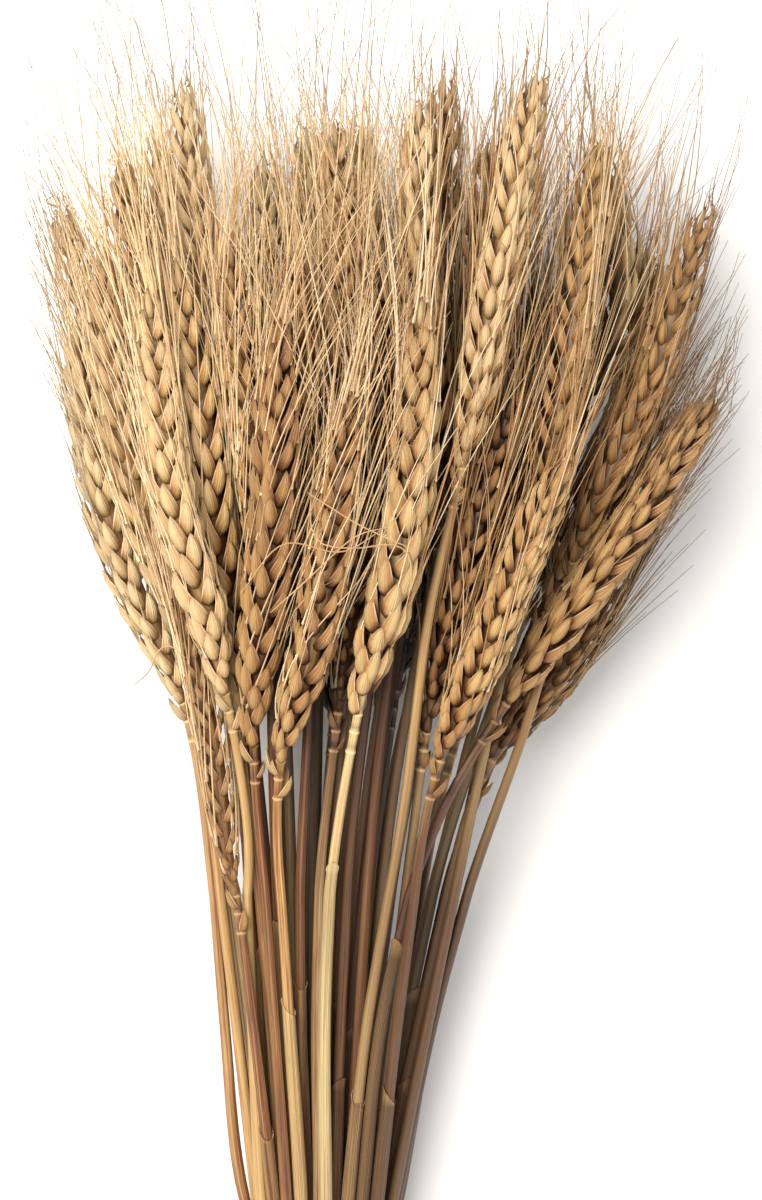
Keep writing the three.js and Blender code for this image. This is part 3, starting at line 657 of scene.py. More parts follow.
class Heap:
    # the triangles of one piece, and what its finishes read from them
    def __init__(self):
        self.parts = []
        self.size = 0

    def add(self, rings, ends, grain, tone, dark, finish):
        # rings and grain are (skins, rings, sides, 3), ends (skins, 2, 3), tone (skins,) or a number,
        # and dark (skins, rings, sides) or a number
        skins, rows, sides, _ = rings.shape
        each = rows * sides + 2
        points = np.concatenate([rings.reshape(skins, -1, 3), ends], 1)
        poles = np.stack([grain[:, 0].mean(1), grain[:, -1].mean(1)], 1)
        grains = np.concatenate([grain.reshape(skins, -1, 3), poles], 1)
        tones = np.broadcast_to(np.reshape(tone, (-1, 1)), (skins, each))
        darks = np.broadcast_to(dark, (skins, rows, sides))
        poleDarks = np.stack([darks[:, 0].mean(-1), darks[:, -1].mean(-1)], 1)
        darks = np.concatenate([darks.reshape(skins, -1), poleDarks], 1)
        faces = skinFaces(rows, sides)
        faces = faces[None] + (self.size + each * np.arange(skins))[:, None, None]
        self.parts.append((points.reshape(-1, 3), grains.reshape(-1, 3), tones.ravel(),
                           darks.ravel(), faces.reshape(-1, 3),
                           np.full(skins * len(faces[0]), finish)))
        self.size += skins * each

    def make(self, name, finishes):
        points, grains, tones, darks, faces, finish = map(np.concatenate, zip(*self.parts))
        points[:, 2] = np.maximum(points[:, 2], lowest)
        # painted shade deep inside the bundle and on its right
        darks = darks + depthAt(points)
        mesh = bpy.data.meshes.new(name)
        mesh.vertices.add(len(points))
        mesh.vertices.foreach_set("co", (points * metre).astype(np.float32).ravel())
        mesh.loops.add(faces.size)
        mesh.loops.foreach_set("vertex_index", faces.astype(np.int32).ravel())
        mesh.polygons.add(len(faces))
        mesh.polygons.foreach_set("loop_start", np.arange(0, faces.size, 3, dtype=np.int32))
        mesh.polygons.foreach_set("material_index", finish.astype(np.int32))
        mesh.polygons.foreach_set("use_smooth", np.ones(len(faces), bool))
        mesh.update(calc_edges=True)
        mesh.set_sharp_from_angle(angle=math.radians(62))
        for field, kind, key, values in (("grain", "FLOAT_VECTOR", "vector", grains),
                                         ("tone", "FLOAT", "value", tones),
                                         ("dark", "FLOAT", "value", darks)):
            layer = mesh.attributes.new(field, kind, "POINT")
            layer.data.foreach_set(key, values.astype(np.float32).ravel())
        for material in finishes:
            mesh.materials.append(material)
        piece = bpy.data.objects.new(name, mesh)
        bpy.context.scene.collection.objects.link(piece)
        return piece


def skinFaces(rows, sides):
    here = np.arange(sides)
    after = (here + 1) % sides
    faces = []
    for row in range(rows - 1):
        a = row * sides + here
        b = row * sides + after
        faces += [np.stack([a, b, b + sides], 1), np.stack([a, b + sides, a + sides], 1)]
    start = rows * sides
    top = (rows - 1) * sides
    faces.append(np.stack([np.full(sides, start), after, here], 1))
    faces.append(np.stack([np.full(sides, start + 1), top + here, top + after], 1))
    return np.concatenate(faces)


def unit(vectors):
    return vectors / np.maximum(np.linalg.norm(vectors, axis=-1, keepdims=True), 1e-9)


def squareTo(way, vectors):
    # the direction of the part of each vector that is square to the way
    return unit(vectors - way * (vectors * way).sum(-1, keepdims=True))


def lineAt(stalk, y):
    # points of the centre line at any array of y
    part = slice(stalk["first"], stalk["last"] + 1)
    x = smoothAt(sections[part], stalk["x"][part], y)
    z = smoothAt(sections[part], stalk["z"][part], y)
    return np.stack([x, y, z], -1)


def framesAt(stalk, y):
    # the centre line, its direction, and the top and the side of the stalk there
    y = np.asarray(y, float)
    along = unit(lineAt(stalk, y + 1.5) - lineAt(stalk, y - 1.5))
    top = squareTo(along, upwards)
    return lineAt(stalk, y), along, top, np.cross(along, top)


def outward(top, side, angle):
    angle = np.asarray(angle)[..., None]
    return top * np.cos(angle) - side * np.sin(angle)


def aroundAt(sides):
    return np.arange(sides) * 2 * math.pi / sides


def tubeRings(centres, top, side, radius, sides):
    # rings round a line: centres, top and side are (..., 3), and radius (...)
    turn = aroundAt(sides)[:, None]
    ring = top[..., None, :] * np.cos(turn) + side[..., None, :] * np.sin(turn)
    return centres[..., None, :] + ring * np.asarray(radius)[..., None, None]


def tubeGrain(run, sides):
    turn = aroundAt(sides)
    return np.stack(np.broadcast_arrays(np.cos(turn), np.sin(turn), np.asarray(run)[..., None]), -1)


# The straw: a hollow cut end, a leaf sheath up to its mouth, and the bare stem above it.

stem = {
    "sides": 12,
    "step": 5,
    "bore": 0.55,  # the hollow in the cut end, as a share of the radius
    "boreDepth": 5,
    "bareShare": 0.92,  # the bare stem's radius beside the straw's
    "sheathShare": 1.08,  # and the sheath's
    "lip": 0.22,  # how far the mouth of the sheath flares
    "slant": 2.2,  # and how far it is cut on a slant
    "mouths": {4: 91, 5: 127, 7: 67, 9: 68, 20: 58, 29: 70},  # the ones that the photo shows
    "highShare": 0.3,  # of the others, how many lie well above the twine
    "highMouths": (50, 112),
    "lowMouths": (-34, 36),
    "nodes": (-46, -16),
    "nodeShare": 0.5,  # how many straws show their node, and how far it swells
    "nodeSwell": 0.28,
    "nodeLengths": (1.3, 1.6),  # of its swelling and of the dark band on it
    "nodeDark": 0.75,
    "lipPale": 0.35,  # how much paler the sheath is at its mouth
    "fit": 0.05,  # how far inside the bare stem the mouth ends
    "collar": 0.26,  # the rings under the ear
    "collars": [0.5, 5, 10],
    "collarLength": 0.35,
    "collarRings": [-1.8, -0.5, -0.2, 0.1, 0.5, 1.4],
    "collarPale": 0.8,
    "overCollar": {"at": 1.1, "length": 0.6, "dark": 0.5},  # the painted shadow line above each
    # painted shade on the rachis where it runs among the husks
    "earDark": 0.4,
    "rachis": 0.42,  # its radius inside the ear, as a share of the ear's
    "rachisEnd": (0.93, 0.8),  # how far up the ear it goes, and its radius there
}
stemFinish, sheathFinish, huskFinish, awnFinish = range(4)


def mouthOf(stalk):
    number = stalk["index"] + 1
    high = chance(number, 11) < stem["highShare"]
    mouth = lerp(*stem["highMouths" if high else "lowMouths"], chance(number, 12))
    return stem["mouths"].get(number, mouth)


def addTube(heap, stalk, run, radius, dark, tone, finish, slant=0):
    centre, along, top, side = framesAt(stalk, run)
    rings = tubeRings(centre, top, side, radius, stem["sides"])
    rings[-3:] += slant * along[-1]
    grain = tubeGrain(run, stem["sides"])
    heap.add(rings[None], centre[None, [0, -1]], grain[None], tone, dark[:, None], finish)


def addSheath(heap, stalk, mouth, tone):
    index = stalk["index"]
    butt = stalk["butt"]
    node = lerp(*stem["nodes"], chance(index, 13))
    knobbly = chance(index, 14) < stem["nodeShare"]
    run = np.unique(np.concatenate([
        np.arange(butt, mouth - 1, stem["step"]), node + np.arange(-2, 3), [mouth - 3, mouth - 1, mouth]]))
    run = run[(run >= butt) & (run <= mouth)]
    radius = strawRadius(stalk, run) * stem["sheathShare"]
    swelling, band = stem["nodeLengths"]
    radius += knobbly * stem["nodeSwell"] * np.exp(-((run - node) / swelling) ** 2)
    radius[-1] += stem["lip"]
    dark = knobbly * stem["nodeDark"] * np.exp(-((run - node) / band) ** 2)
    dark[-2:] = -stem["lipPale"]
    # the bore goes in at the butt, and the mouth closes on to the bare stem; both are painted dark inside,
    # as painted shade
    wall = strawRadius(stalk, mouth) * stem["bareShare"] - stem["fit"]
    bore = radius[0] * stem["bore"]
    run = np.concatenate([[butt + stem["boreDepth"], butt], run, [mouth]])
    radius = np.concatenate([[bore, bore], radius, [wall]])
    # painted shade inside the bore and inside the mouth
    dark = np.concatenate([[1, 0.5], dark, [0.9]])
    turn = aroundAt(stem["sides"]) - 2 * math.pi * chance(index, 15)
    slant = np.array([0.6, 1, 1])[:, None, None] * np.cos(turn)[:, None] * stem["slant"]
    addTube(heap, stalk, run, radius, dark, tone, sheathFinish, slant)


def addStem(heap, stalk, mouth, tone):
    foot = stalk["foot"]
    share, endRadius = stem["rachisEnd"]
    end = lerp(foot, stalk["tip"], share)
    collarRuns = np.array(stem["collarRings"]) - np.array(stem["collars"])[:, None]
    run = np.unique(np.concatenate([
        np.arange(mouth - 8, foot - 12, stem["step"]), foot + collarRuns.ravel(),
        np.linspace(foot + 4, end, 12)]))
    rachis = np.maximum(straw["neckRadius"], radiusAt(stalk, run) * stem["rachis"])
    radius = np.where(run > foot, rachis, strawRadius(stalk, run) * stem["bareShare"])
    inEar = np.clip((run - foot) / (end - foot), 0, 1)
    radius = lerp(radius, endRadius, np.clip(inEar - 0.8, 0, 0.2) * 5)
    # painted shade on the rachis among the husks
    dark = stem["earDark"] * np.clip((run - foot - 3) / 5, 0, 1)
    line = stem["overCollar"]
    for below in stem["collars"]:
        above = run - foot + below
        near = np.exp(-(above / stem["collarLength"]) ** 2)
        radius = radius + stem["collar"] * near
        # a painted shadow line above each collar
        dark += line["dark"] * np.exp(-((above - line["at"]) / line["length"]) ** 2)
        dark -= stem["collarPale"] * near
    addTube(heap, stalk, run, radius, dark, tone, stemFinish)


# The ear: spikelets in two rows, one on each side of the rachis and half a pitch apart. Each has two
# outer florets, facing up and down, a glume over the foot of each, two inner florets and a middle one.

husk = {
    "plumpRows": (9, 11),  # the fewest and the most spikelets in a row of a plump ear
    "slenderRows": (11, 12),
    "plump": 0.9,  # how thick a plump ear's husks are at least
    "slender": (0.72, 0.86),  # how thick they are in the ears that have no number below
    "twist": 30,  # degrees that an ear may turn between its foot and its tip, either way
    "turned": 14,  # and how far it is turned as a whole
    "crowding": 0.1,  # how much closer they come towards the tip
    "uneven": {"foot": 0.25, "turn": 7, "tone": 0.22, "length": 0.09},  # how much they differ
    "atTip": 4,
    "tipDepth": 8,  # how far down from the tip the last of these start, and how far apart
    "tipStep": 1.6,
    "overhang": 0.5,
    "closing": 0.55,  # how far the last husks close over the tip
    "length": 11.4,  # at the usual pitch
    "usualPitch": 8.7,
    "smallest": 0.45,  # the scale of the husks where the ear is thinnest
    "slimming": [1.04, 0.74],  # how wide they are at the ear's foot and at its tip
    "heights": (0.8, 1.15),
    "keels": (0.3, 0.7),
    "halfWidth": 2.65,
    "bulge": 2.1,
    "inner": 0.8,
    "crease": 0.9,  # how dark the painted shade in the creases is, and where, as shares of the ear's radius
    "creases": (0.98, 0.5),
    "near": 0.08,  # from the rachis at its foot, as a share of the ear's radius
    "far": 1.0,  # and at its tip
    "ridge": 0.6,  # how high a keel rises, as a share of the bulge, and what the rest of it gives up
    "flattened": 0.3,
}
# the degrees round a husk's section and the places along it where its rings lie
fineHusk = ([0, 36, 72, 108, 144, 180, 240, 300], [0.035, 0.13, 0.3, 0.5, 0.7, 0.9])
plainHusk = ([0, 45, 90, 135, 180, 270], [0.05, 0.22, 0.48, 0.74, 0.94])
lowHusk = (fineHusk[0], plainHusk[1])
# turn is in degrees from the row's middle, start a share of the pitch, taper how early it narrows to
# its tip, tuck how far the tip bends back in, and the rest are shares of the sizes above
outerHusk, glume, innerHusk, middleHusk, tipHusk = range(5)
huskKinds = {
    "turn": [44, 67, 20, 0, 0],
    "start": [0.06, -0.06, 0.17, 0.32, 0],
    "length": [1.2, 0.8, 1.08, 0.92, 1.15],
    "width": [0.8, 0.84, 0.62, 0.66, 0.72],
    "bulge": [0.9, 1.05, 0.8, 0.75, 0.7],
    "reach": [1.03, 0.98, 1, 0.96, 0.5],
    "taper": [1, 0.82, 1, 0.9, 1],
    "tuck": [0.12, 0.06, 0.1, 0.1, 0.5],
}
# how thick the husks of some ears are, and how much painted shade darkens some ears; below zero, painted
# light makes them paler
plumpEars = {
    1: 1.02, 2: 0.9, 3: 0.98, 4: 0.95, 5: 1.04, 7: 0.86, 8: 0.92, 9: 1.02, 10: 0.98,
    12: 0.76, 13: 0.74, 14: 0.8, 17: 0.9,
}
paintedEarShade = {
    3: 0.36, 4: 0.34, 5: 0.22, 6: 0.3, 8: 0.3, 11: 0.16, 25: 0.1, 26: 0.2, 29: 0.28,
    7: -0.45, 14: -0.3, 15: -0.15, 16: -0.25, 13: -0.1, 10: -0.1, 22: -0.3, 23: -0.2,
}
lowHusks = {
    "share": 0.7, "below": [4.5, 9.5], "length": 6.4, "width": 0.5, "reach": 0.62,
    "turn": 38, "keel": 0.4, "sizes": (0.7, 1.1), "uneven": {"below": 0.5, "turn": 0.25},
}


def spikeletRows(stalk, plump, rng):
    # a row of numbers for each husk: where it starts, its angle round the rachis, kind, tone, length,
    # and which of its edges is nearer to the middle of the ear's face
    stout = plump > husk["plump"] or stalk["hidden"]
    fewest, most = husk["plumpRows" if stout else "slenderRows"]
    count = rng.integers(fewest, most + 1)
    pitch = (stalk["tip"] - stalk["foot"]) / (count + 0.5 + husk["overhang"])
    twist = math.radians(husk["twist"]) * rng.uniform(-1, 1)
    turned = math.radians(husk["turned"]) * rng.uniform(-1, 1)
    uneven = husk["uneven"]
    rows = []
    for sideways in (0, 1):
        flank = stalk["roll"] + turned + math.pi * (0.5 + sideways)
        for n in range(count):
            share = (n + 0.5 * sideways) / count
            foot = stalk["foot"] + share * (1 + husk["crowding"] * (1 - share)) * count * pitch
            foot += rng.normal(0, uneven["foot"])
            tone = rng.random()
            for kind in range(tipHusk):
                for face in ((0,) if kind == middleHusk else (-1, 1)):
                    turn = math.radians(face * huskKinds["turn"][kind] + rng.normal(0, uneven["turn"]))
                    rows.append((
                        foot + huskKinds["start"][kind] * pitch,
                        flank + turn + twist * (share - 0.5), kind,
                        tone + rng.normal(0, uneven["tone"]),
                        huskKinds["length"][kind] * (1 + rng.normal(0, uneven["length"])), face))
    for n in range(husk["atTip"]):
        angle = stalk["roll"] + 2 * math.pi * n / husk["atTip"]
        length = huskKinds["length"][tipHusk]
        start = stalk["tip"] - husk["tipDepth"] - husk["tipStep"] * n
        rows.append((start, angle, tipHusk, rng.random(), length, 0))
    return np.array(rows), pitch


def addHusks(heap, stalk, rng):
    number = stalk["index"] + 1
    plump = plumpEars.get(number, rng.uniform(*husk["slender"]))
    rows, pitch = spikeletRows(stalk, plump, rng)
    if stalk["hidden"]:
        rows = rows[(rows[:, 2] != glume) & (rows[:, 2] != innerHusk)]
    start, angle, kind, tone, longer, inward = rows.T
    kind = kind.astype(int)
    width, bulge, reach, taper, tuck = [
        np.array(huskKinds[name])[kind] for name in ("width", "bulge", "reach", "taper", "tuck")]
    along = np.clip((start + 0.5 * pitch - stalk["foot"]) / (stalk["tip"] - stalk["foot"]), 0, 1)
    swell = lerp(husk["smallest"], 1, smoothAt(earSwell["at"], earSwell["size"], along))
    scale = swell * stalk["earRadius"] / ear["radius"] * (pitch / husk["usualPitch"]) ** 0.7
    slim = scale * lerp(*husk["slimming"], along ** 1.5) * plump
    room = lerp(0.86, 1, along) * (stalk["tip"] + 1 - start)
    length = np.minimum(husk["length"] * longer * scale, room)
    husks = {
        "start": start, "angle": angle, "length": length, "tone": tone, "inward": inward,
        "kind": kind, "along": along,
        "wide": width * slim,
        "high": bulge * slim * rng.uniform(*husk["heights"], len(kind)),
        "reach": radiusAt(stalk, start + 0.5 * length) * reach,
        "taper": taper + 0.8 * (1 - plump),
        "tuck": tuck + husk["closing"] * ease(0.72, 1, along),
        "keel": lerp(*husk["keels"], rng.random()),
        "crease": husk["crease"] * lerp(1, 0.35, along ** 1.5) * np.clip(2.4 * plump - 1.4, 0.45, 1),
        "paintedShade": paintedEarShade.get(number, 0),
    }
    plain = stalk["hidden"] | (kind == innerHusk) | (kind == middleHusk)
    tips = []
    for those, detail in ((~plain, fineHusk), (plain, plainHusk)):
        if those.any():
            batch = {name: np.broadcast_to(value, len(kind))[those] for name, value in husks.items()}
            tips.append({**batch, **addHuskSkins(heap, stalk, batch, detail)})
    return {name: np.concatenate([batch[name] for batch in tips]) for name in tips[0]}


def addHuskSkins(heap, stalk, husks, detail):
    # husks holds a number or an array for each name; each array is a number for each husk
    h = {name: np.reshape(value, (-1, 1)) for name, value in husks.items()}
    outline, stations = detail
    outline = np.radians(outline)
    t = np.array([[0, *stations, 1]])
    centre, ahead, top, side = framesAt(stalk, h["start"] + h["length"] * t)
    out = outward(top, side, np.broadcast_to(h["angle"], centre.shape[:2]))
    away = lerp(husk["near"], husk["far"], 1 - (1 - t) ** 1.7) * h["reach"]
    away = away * (1 - h["tuck"] * t ** 4)
    spine = centre + out * away[..., None]
    tangent = unit(np.gradient(spine, axis=1))
    across = unit(np.cross(out, tangent))
    outer = np.cross(tangent, across)
    widest = 0.5 / (0.5 + h["taper"])
    fullest = widest ** 0.5 * (1 - widest) ** h["taper"]
    breadth = t ** 0.5 * (1 - t) ** h["taper"] / fullest
    ring = slice(1, -1)
    width, bulge, inner = [
        (size * breadth)[:, ring, None]
        for size in (husk["halfWidth"] * h["wide"], husk["bulge"] * h["high"], husk["inner"] * h["high"])]
    cosine = np.cos(outline)
    sine = np.sin(outline)
    keel = h["keel"][..., None]
    ridge = keel * np.maximum(sine, 0) ** 6 * bulge * husk["ridge"]
    height = np.where(sine > 0, bulge * (1 - husk["flattened"] * keel), inner) * sine + ridge
    rings = (spine[:, ring, None] + across[:, ring, None] * (width * cosine)[..., None]
             + outer[:, ring, None] * height[..., None])
    # the warm painted shade falls on the edge nearer the middle of the face
    flip = np.where(h["inward"] < 0, -1, 1)[..., None]
    grain = np.stack(np.broadcast_arrays(cosine * flip, sine, t[:, ring, None]), -1)
    grain = np.broadcast_to(grain, rings.shape)
    # painted shade darkens the creases between the husks deep brown, and some whole ears; painted light
    # makes others paler
    bare = np.linalg.norm(rings - centre[:, ring, None], axis=-1) / np.maximum(h["reach"], 1)[..., None]
    dark = h["crease"][..., None] * ease(*husk["creases"], bare) + h["paintedShade"][..., None]
    heap.add(rings, spine[:, [0, -1]], grain, np.clip(husks["tone"], 0, 1), dark - paintedLightAt(rings),
             huskFinish)
    return {"root": spine[:, -1] - tangent[:, -1] * 0.4, "tangent": tangent[:, -1],
            "out": out[:, -1], "ahead": ahead[:, -1]}


def addLowHusks(heap, stalk, rng):
    # small empty husks, in pairs, on the bare rachis under the ear
    if stalk["hidden"] or rng.random() > lowHusks["share"]:
        return
    uneven = lowHusks["uneven"]
    below = np.repeat(lowHusks["below"], 2) + rng.normal(0, uneven["below"], 4)
    flank = stalk["roll"] + math.pi * np.array([0.5, 0.5, 1.5, 1.5])
    turn = math.radians(lowHusks["turn"]) * np.array([1, -1, 1, -1])
    angle = flank + turn + rng.normal(0, uneven["turn"], 4)
    size = rng.uniform(*lowHusks["sizes"], 4)
    addHuskSkins(heap, stalk, {
        "start": stalk["foot"] - below, "angle": angle, "length": lowHusks["length"] * size,
        "reach": stalk["earRadius"] * lowHusks["reach"] * size, "wide": lowHusks["width"] * size,
        "high": lowHusks["width"] * size, "tone": rng.random(4), "keel": lowHusks["keel"],
        "inward": 1, "taper": 1, "tuck": 0, "crease": 0, "paintedShade": 0,
    }, lowHusk)


# The awns: one from the tip of each outer floret and of some of the others. They run forward and a
# little outward, and bend clear of the ears that they pass.

awn = {
    "radius": 0.25,
    "tipRadius": 0.07,
    "beak": 0.25,  # how much thicker it starts
    "sides": 3,
    "least": [44, 26],  # the length near the foot of the ear and near its tip
    "most": [88, 60],
    "tallShare": 0.16,  # how many reach past the rest, and how far past the bundle's outline these go
    "taller": 20,
    "wider": 1.3,
    "lower": 22,  # how far short of it the others may end
    "narrower": (0.65, 1.1),
    "cutTo": 15,  # the least that is left of one that would stick out too far
    "shortest": 0.15,  # of the room above an ear, the share that its awns may fill
    "spread": 5,  # degrees that they lean out of the ear from the start, and how much that varies
    "spreads": (0.3, 1.7),
    "fanning": [0.13, 0.2],  # how far they bend out by their end, from low ears to the highest
    "fans": (-0.3, 2),
    "fanFrom": (255, 315),
    "veer": 0.06,  # how far they keep to the husk's own direction before they turn, and how soon
    "veerRate": 7,
    "outwards": [0.17, 0.0],  # how much they lean out of the bundle, on its left and on its right
    "loose": (170, 280),  # only the awns of ears that reach up here lean and fan out at its edge
    "edge": (0.55, 0.95),  # where that edge starts and where it is full, as shares of the half-width
    "sway": 0.08,  # the random lean of all of an ear's awns
    "sparse": (275, 330),  # ears that reach up here keep fewer of their awns
    "sparseShare": 0.45,
    "upright": 0.06,
    "overFace": 0.6,  # how far round they turn to lie over the ear's face, in radians
    "turned": 0.6,  # and how much each differs in that
    "bow": 5,  # how far the tip strays from the straight, either way
    "unbowed": 45,  # shorter ones stray less
    "shares": {outerHusk: 1, tipHusk: 1, middleHusk: 0.5, innerHusk: 0.34},
    "bushy": (8, 11, 25, 28, 31, 33),  # ears whose middle and inner florets all have one
    "stations": [0, 0.03, 0.09, 0.18, 0.31, 0.46, 0.62, 0.8, 1],
    "clearance": 0.3,
    "rounds": 14,
    "push": 0.8,
    "crossings": (100, 360, 2),  # where along the bundle they are looked for
    "varied": 0.66,  # how much they differ in brownness
    "rightShade": 0.34,  # and how much painted shade browns those on the right
    "right": [(-0.5, 0.35), (-0.1, 0.5)],  # where that is among the low ears and among the high ones
    "highFrom": (205, 260),
    "weatheredAndShaded": 0.8,  # how much greyer and darker the ones that stick out of the bundle are, partly their own weathering and partly painted shade, and where
    "overTop": (308, 334),
    "beside": (1, 1.15),
}
limits = {"low": np.array([-77.4, -60, 0.5]), "high": np.array([107.4, 351.6, 97])}
ceiling = {  # how far up the awns reach, across the bundle
    "x": [-80, -70, -58, -46, -34, -22, -5, 8, 20, 27, 62, 75, 88, 100, 108],
    "y": [306, 323, 339, 352, 352, 338, 329, 335, 337, 352, 352, 342, 332, 320, 306],
}
fringe = {  # how far out they reach on either side, along the bundle
    "y": [170, 180, 195, 215, 232, 245, 257, 265, 282, 295, 320],
    "left": [-42, -46, -54, -59, -64, -68, -71, -73, -77, -79, -79],
    "right": [74, 79, 87, 92, 99, 106, 107, 99, 101, 106, 109],
}


def awnedTips(stalk, tips, rng):
    # the husk tips that have an awn
    kind = tips["kind"]
    draw = rng.random(len(kind))
    wanted = np.zeros(len(kind), bool)
    for awned, share in awn["shares"].items():
        wanted |= (kind == awned) & ((draw < share) | (stalk["index"] + 1 in awn["bushy"]))
    thinned = awn["sparseShare"] * ease(*awn["sparse"], tips["root"][:, 1])
    wanted &= rng.random(len(kind)) > thinned
    return {name: values[wanted] for name, values in tips.items()}


def fitAwns(root, way, fan, length, rng):
    # cuts the awns to the room that they have, and their outer ends to an uneven outline
    count = len(root)
    tall = rng.random(count) < awn["tallShare"]
    top = np.interp(root[:, 0] + way[:, 0] * length, ceiling["x"], ceiling["y"])
    top += np.where(tall, awn["taller"] * rng.random(count), -awn["lower"] * rng.random(count))
    high = np.tile(limits["high"], (count, 1))
    high[:, 1] = np.minimum(top, high[:, 1])
    room = np.where(way > 0, high - root, root - limits["low"]) / np.maximum(abs(way), 1e-6)
    room = np.maximum(room, 6).min(1)
    length = np.minimum(length, room * (1 - (1 - awn["shortest"]) * rng.random(count) ** 2.1))
    along = np.linspace(0.1, 1, 19)[:, None]
    x = root[:, 0] + way[:, 0] * length * along + fan * length * along ** 2
    y = root[:, 1] + way[:, 1] * length * along
    outside = ((x < np.interp(y, fringe["y"], fringe["left"]))
               | (x > np.interp(y, fringe["y"], fringe["right"])))
    within = np.where(outside.any(0), along[outside.argmax(0), 0], 1)
    cut = within * np.where(tall, awn["wider"], rng.uniform(*awn["narrower"], count))
    return np.maximum(length * np.maximum(cut, 0.2), np.minimum(length, awn["cutTo"]))


def plotAwns(stalk, tips, rng):
    tips = awnedTips(stalk, tips, rng)
    root = tips["root"]
    count = len(root)
    g = girthAt(root[:, 1])
    across = (root[:, 0] - g["x"]) / g["halfWidth"]
    off = np.stack([across, np.zeros(count), 0.5 * (root[:, 2] - g["z"]) / g["halfHeight"]], -1)
    loose = ease(*awn["loose"], root[:, 1])
    tight = ease(*awn["edge"], abs(across)) * (1 - loose * np.where(across < 0, 1, 0.25))
    outwards = np.where(across < 0, *awn["outwards"]) * loose
    sway = rng.normal(0, awn["sway"], 3) * np.array([1, 0, 0.5]) + np.array([0.02, 0, 0])
    forward = unit(lerp(tips["ahead"], np.array([0.0, 1, 0]), awn["upright"])
                   + outwards[:, None] * off + sway)
    out = squareTo(forward, tips["out"])
    lean = (rng.normal(0, awn["turned"], count) - awn["overFace"] * tips["inward"])[:, None]
    out = out * np.cos(lean) + np.cross(forward, out) * np.sin(lean)
    tilt = np.radians(awn["spread"] * rng.uniform(*awn["spreads"], count))
    tilt = (tilt * (1 - 0.5 * tight))[:, None]
    way = forward * np.cos(tilt) + out * np.sin(tilt)
    high = tips["along"] ** 1.3
    length = lerp(lerp(*awn["least"], high), lerp(*awn["most"], high), rng.random(count))
    fanning = lerp(*awn["fanning"], ease(*awn["fanFrom"], root[:, 1]))
    fanning = fanning * rng.uniform(*awn["fans"], count) * (1 - 0.75 * tight)
    fan = out * fanning[:, None]
    length = fitAwns(root, way, fan[:, 0], length, rng)[:, None]
    bow = rng.normal(0, awn["bow"], (count, 1, 3)) * np.array([0.6, 0, 0.4])
    bow *= np.clip(length[..., None] / awn["unbowed"], 0, 1) ** 2
    t = np.array(awn["stations"])[None, :, None]
    start = awn["veer"] * (1 - np.exp(-t * awn["veerRate"]))
    path = (root[:, None] + (way * length)[:, None] * t
            + ((tips["tangent"] - way) * length)[:, None] * start
            + ((fan * length)[:, None] + bow) * t ** 2)
    # painted shade browns the awns on the bundle's right
    low, high = [ease(*ends, across) for ends in awn["right"]]
    right = lerp(low, high, ease(*awn["highFrom"], root[:, 1]))
    tone = rng.random(count) * awn["varied"] + awn["rightShade"] * right
    return {"path": path, "tone": tone, "owner": np.full(count, stalk["index"])}


def bendClear(stalks, paths, owners):
    # pushes the awns out of the ears and stalks that they cross
    low, high, step = awn["crossings"]
    ys = np.arange(low, high, step)
    lines = []
    for stalk in stalks:
        line = lineAt(stalk, ys)
        fill = np.where(ys <= stalk["tip"], radiusAt(stalk, np.minimum(ys, stalk["tip"])), -5)
        lines.append(np.stack([line[:, 0], line[:, 2], fill], -1))
    lines = np.array(lines)
    own = owners[None, :, None] == np.arange(len(stalks))[:, None, None]
    # every shift is fitted with a cubic that is nothing at the root, so that no awn kinks
    powers = np.array(awn["stations"])[:, None] ** np.array([1, 2, 3])
    smoothing = powers @ np.linalg.pinv(powers)
    shift = np.zeros_like(paths)
    for turn in range(awn["rounds"]):
        now = paths + shift
        at = np.clip(np.round((now[..., 1] - low) / step).astype(int), 0, len(ys) - 1)
        x, z, fill = np.moveaxis(lines[:, at], -1, 0)
        dx = now[..., 0] - x
        dz = now[..., 2] - z
        distance = np.hypot(dx, dz) + 1e-6
        deep = fill * np.where(own, 0.85, 0.95) + awn["clearance"] - distance
        deep[..., :2] = 0
        worst = deep.argmax(0)[None]
        push, awayX, awayZ = [np.take_along_axis(values, worst, 0)[0]
                              for values in (deep, dx / distance, dz / distance)]
        push = np.maximum(push, 0) * awn["push"]
        shift[..., 0] += push * awayX
        shift[..., 2] += push * awayZ
        shift = np.einsum("ij,njk->nik", smoothing, shift)
        shift = np.clip(paths + shift, limits["low"], limits["high"]) - paths
    return paths + shift


def addAwns(heap, paths, t, tone):
    # t is how far along each awn its places lie
    tangent = unit(np.gradient(paths, axis=1))
    top = squareTo(tangent, upwards)
    radius = lerp(awn["radius"], awn["tipRadius"], t ** 0.8) + awn["beak"] * np.exp(-t / 0.03)
    rings = tubeRings(paths, top, np.cross(tangent, top), np.broadcast_to(radius, paths.shape[:2]),
                      awn["sides"])
    grain = np.broadcast_to(tubeGrain(t[None], awn["sides"]), rings.shape)
    ends = np.stack([paths[:, 0] - tangent[:, 0] * 0.3, paths[:, -1] + tangent[:, -1] * 0.4], 1)
    g = girthAt(paths[..., 1])
    aside = abs(paths[..., 0] - g["x"]) / g["halfWidth"]
    # those that stick out of the bundle are greyed and darkened: partly their own weathering, partly
    # painted shade
    bare = np.maximum(ease(*awn["overTop"], paths[..., 1]), ease(*awn["beside"], aside))
    heap.add(rings, ends, grain, tone, awn["weatheredAndShaded"] * bare[..., None], awnFinish)


